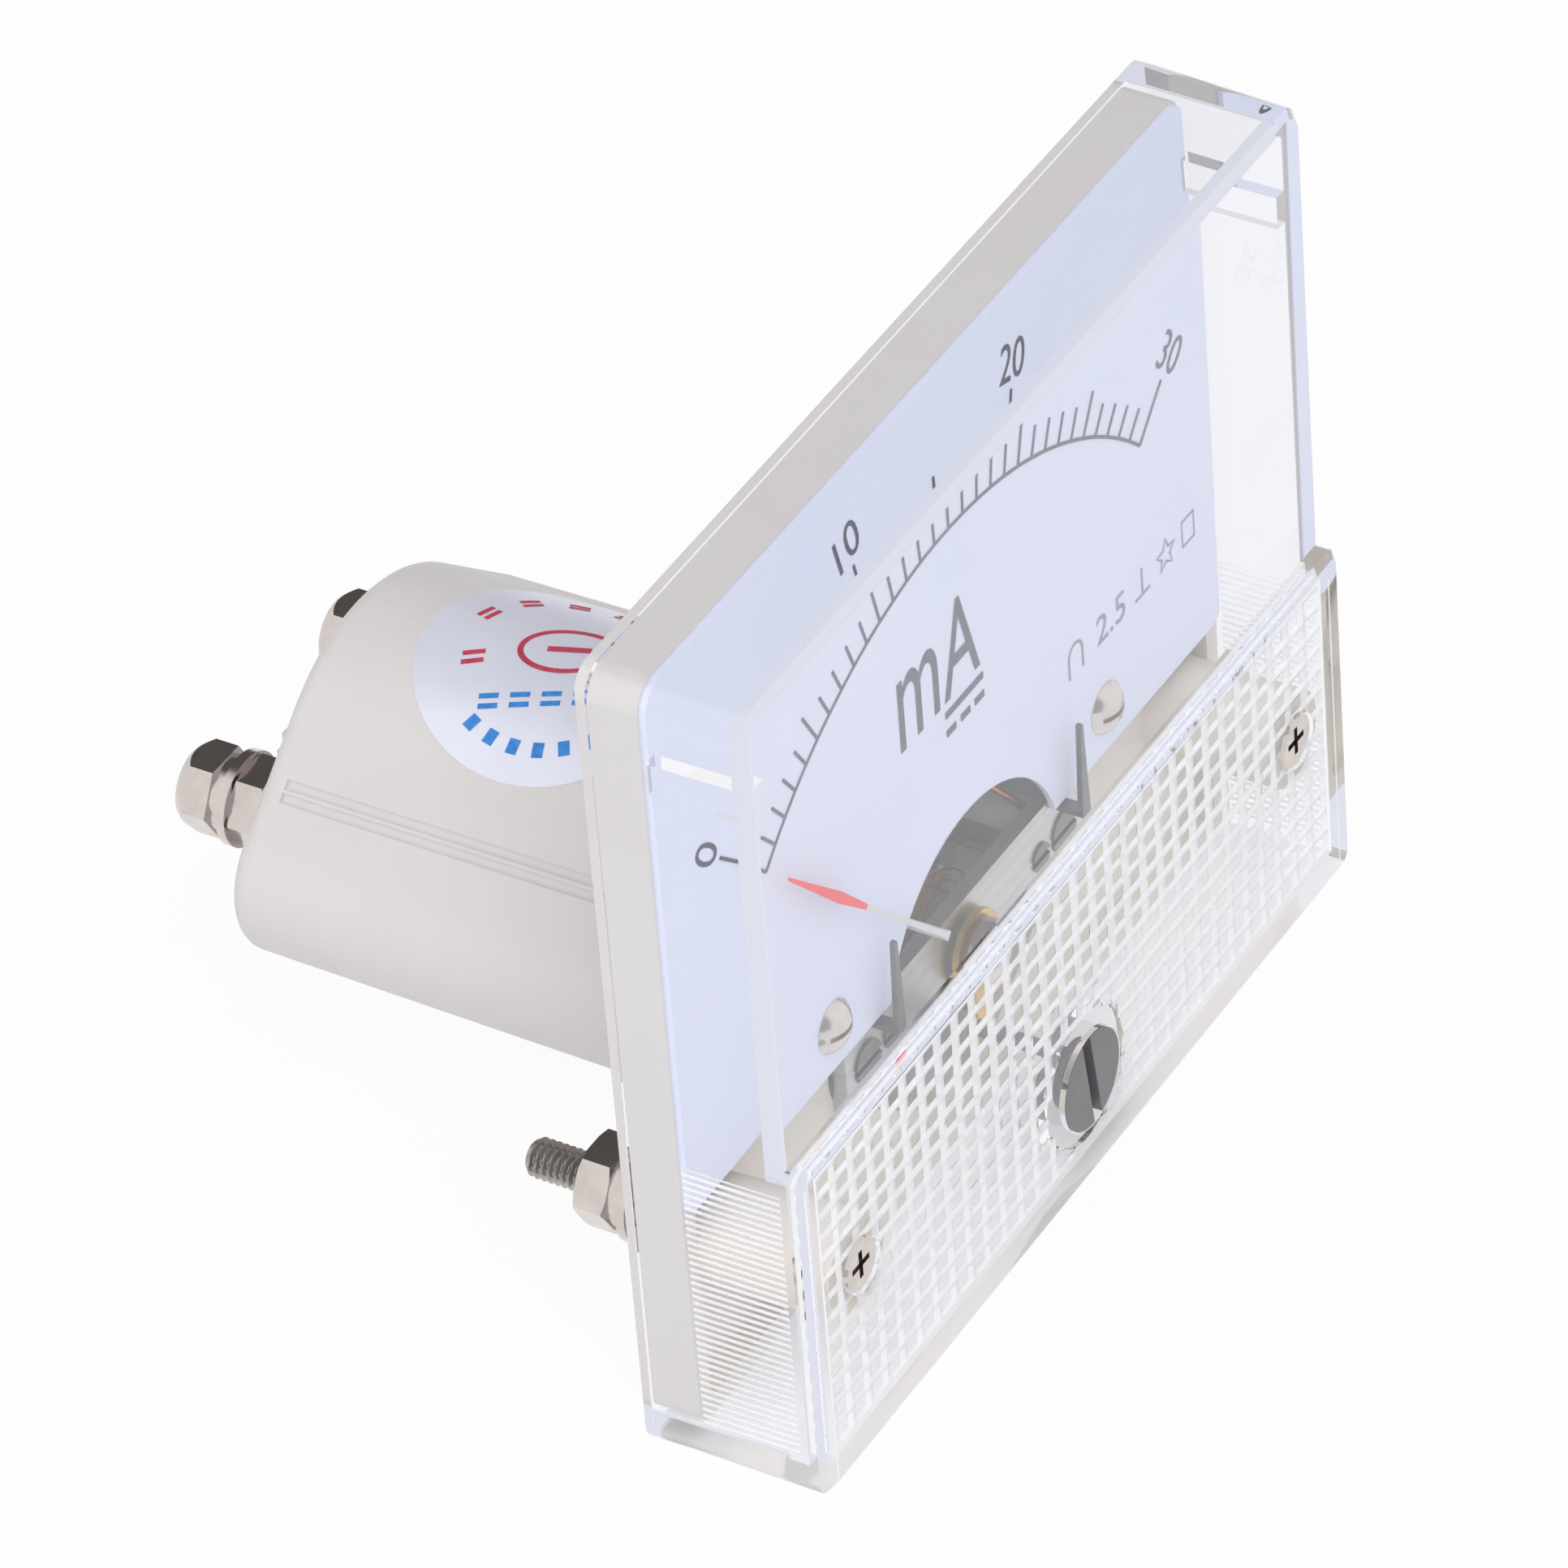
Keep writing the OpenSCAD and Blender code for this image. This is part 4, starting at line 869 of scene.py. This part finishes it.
def rib_cutter(side, wall_x, low_y, high_y, low_z, high_z):
    """Fine V grooves along Y in one side wall, with two grid lines to a groove."""
    pitch, depth, proud = 0.5 * mm, 0.07 * mm, 0.05 * mm
    steps = int((high_z - low_z) / (pitch / 2))
    z = np.linspace(low_z, high_z, steps + 1)
    sunk = np.where(np.arange(steps + 1) % 2 == 0, 0.0, depth + proud)
    face = np.tile(wall_x + side * (sunk - proud), (2, 1))
    kept = np.ones((1, steps), dtype=bool)
    points, faces = sunk_block(np.array([low_y, high_y]), z, face, wall_x - side * 0.3 * mm, kept)
    return points[:, [2, 0, 1]], faces


def cut_cover():
    """A copy of the CAD cover, merged, less the pattern and the ribs. The walls lean in by the
    draft, and the band's inside is 20.75 mm high."""
    low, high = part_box("front_cover")
    wall, draft = 1.5 * mm, 0.25 * mm
    inner_y = low[1] + wall
    inner_x = high[0] - draft - wall
    bottom = low[2] + draft + wall
    band_top = bottom + 20.75 * mm
    adjuster_low, adjuster_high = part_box("zero_adjuster")
    adjuster_z = (adjuster_low[2] + adjuster_high[2]) / 2
    blocks = [pattern_cutter(
        low_x=-29.7 * mm, top_z=band_top - 0.1 * mm, wall_y=inner_y, adjuster_z=adjuster_z)]
    for side in (-1, 1):
        blocks.append(rib_cutter(
            side, wall_x=side * inner_x, low_y=inner_y + 0.5 * mm, high_y=-3.4 * mm,
            low_z=bottom + 0.5 * mm, high_z=band_top - 1.0 * mm))
    shape = bmesh.new()
    for points, faces in blocks:
        mesh = bpy.data.meshes.new("cutter")
        mesh.from_pydata(points.tolist(), [], faces.tolist())
        shape.from_mesh(mesh)
    bmesh.ops.delete(shape, geom=[point for point in shape.verts if not point.link_faces], context="VERTS")
    bmesh.ops.recalc_face_normals(shape, faces=shape.faces)
    cutter_mesh = bpy.data.meshes.new("cutter")
    shape.to_mesh(cutter_mesh)
    shape.free()
    cutter = bpy.data.objects.new("cutter", cutter_mesh)
    bpy.context.collection.objects.link(cutter)

    mesh = frame["nodes"]["front_cover"].data.copy()
    shape = bmesh.new()
    shape.from_mesh(mesh)
    bmesh.ops.remove_doubles(shape, verts=shape.verts, dist=1e-6)
    shape.to_mesh(mesh)
    shape.free()
    cover = bpy.data.objects.new("clear_cover", mesh)
    bpy.context.collection.objects.link(cover)
    cut = cover.modifiers.new("cut", "BOOLEAN")
    cut.operation = "DIFFERENCE"
    cut.solver = "EXACT"
    cut.object = cutter
    bpy.context.view_layer.update()
    done = bpy.data.meshes.new_from_object(cover.evaluated_get(bpy.context.evaluated_depsgraph_get()))
    cover.modifiers.clear()
    cover.data = done
    bpy.data.objects.remove(cutter)
    for old_shading in ("custom_normal", "sharp_edge", "sharp_face"):
        if old_shading in done.attributes:
            done.attributes.remove(done.attributes[old_shading])
    done.shade_smooth()
    done.set_sharp_from_angle(angle=math.radians(12.0))
    done.materials.clear()
    done.materials.append(clear_plastic(inner_y, inner_x, low[2] + 0.3 * mm, band_top))
    return cover


clear_cover = cut_cover()
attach(clear_cover, "case")
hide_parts("front_cover")
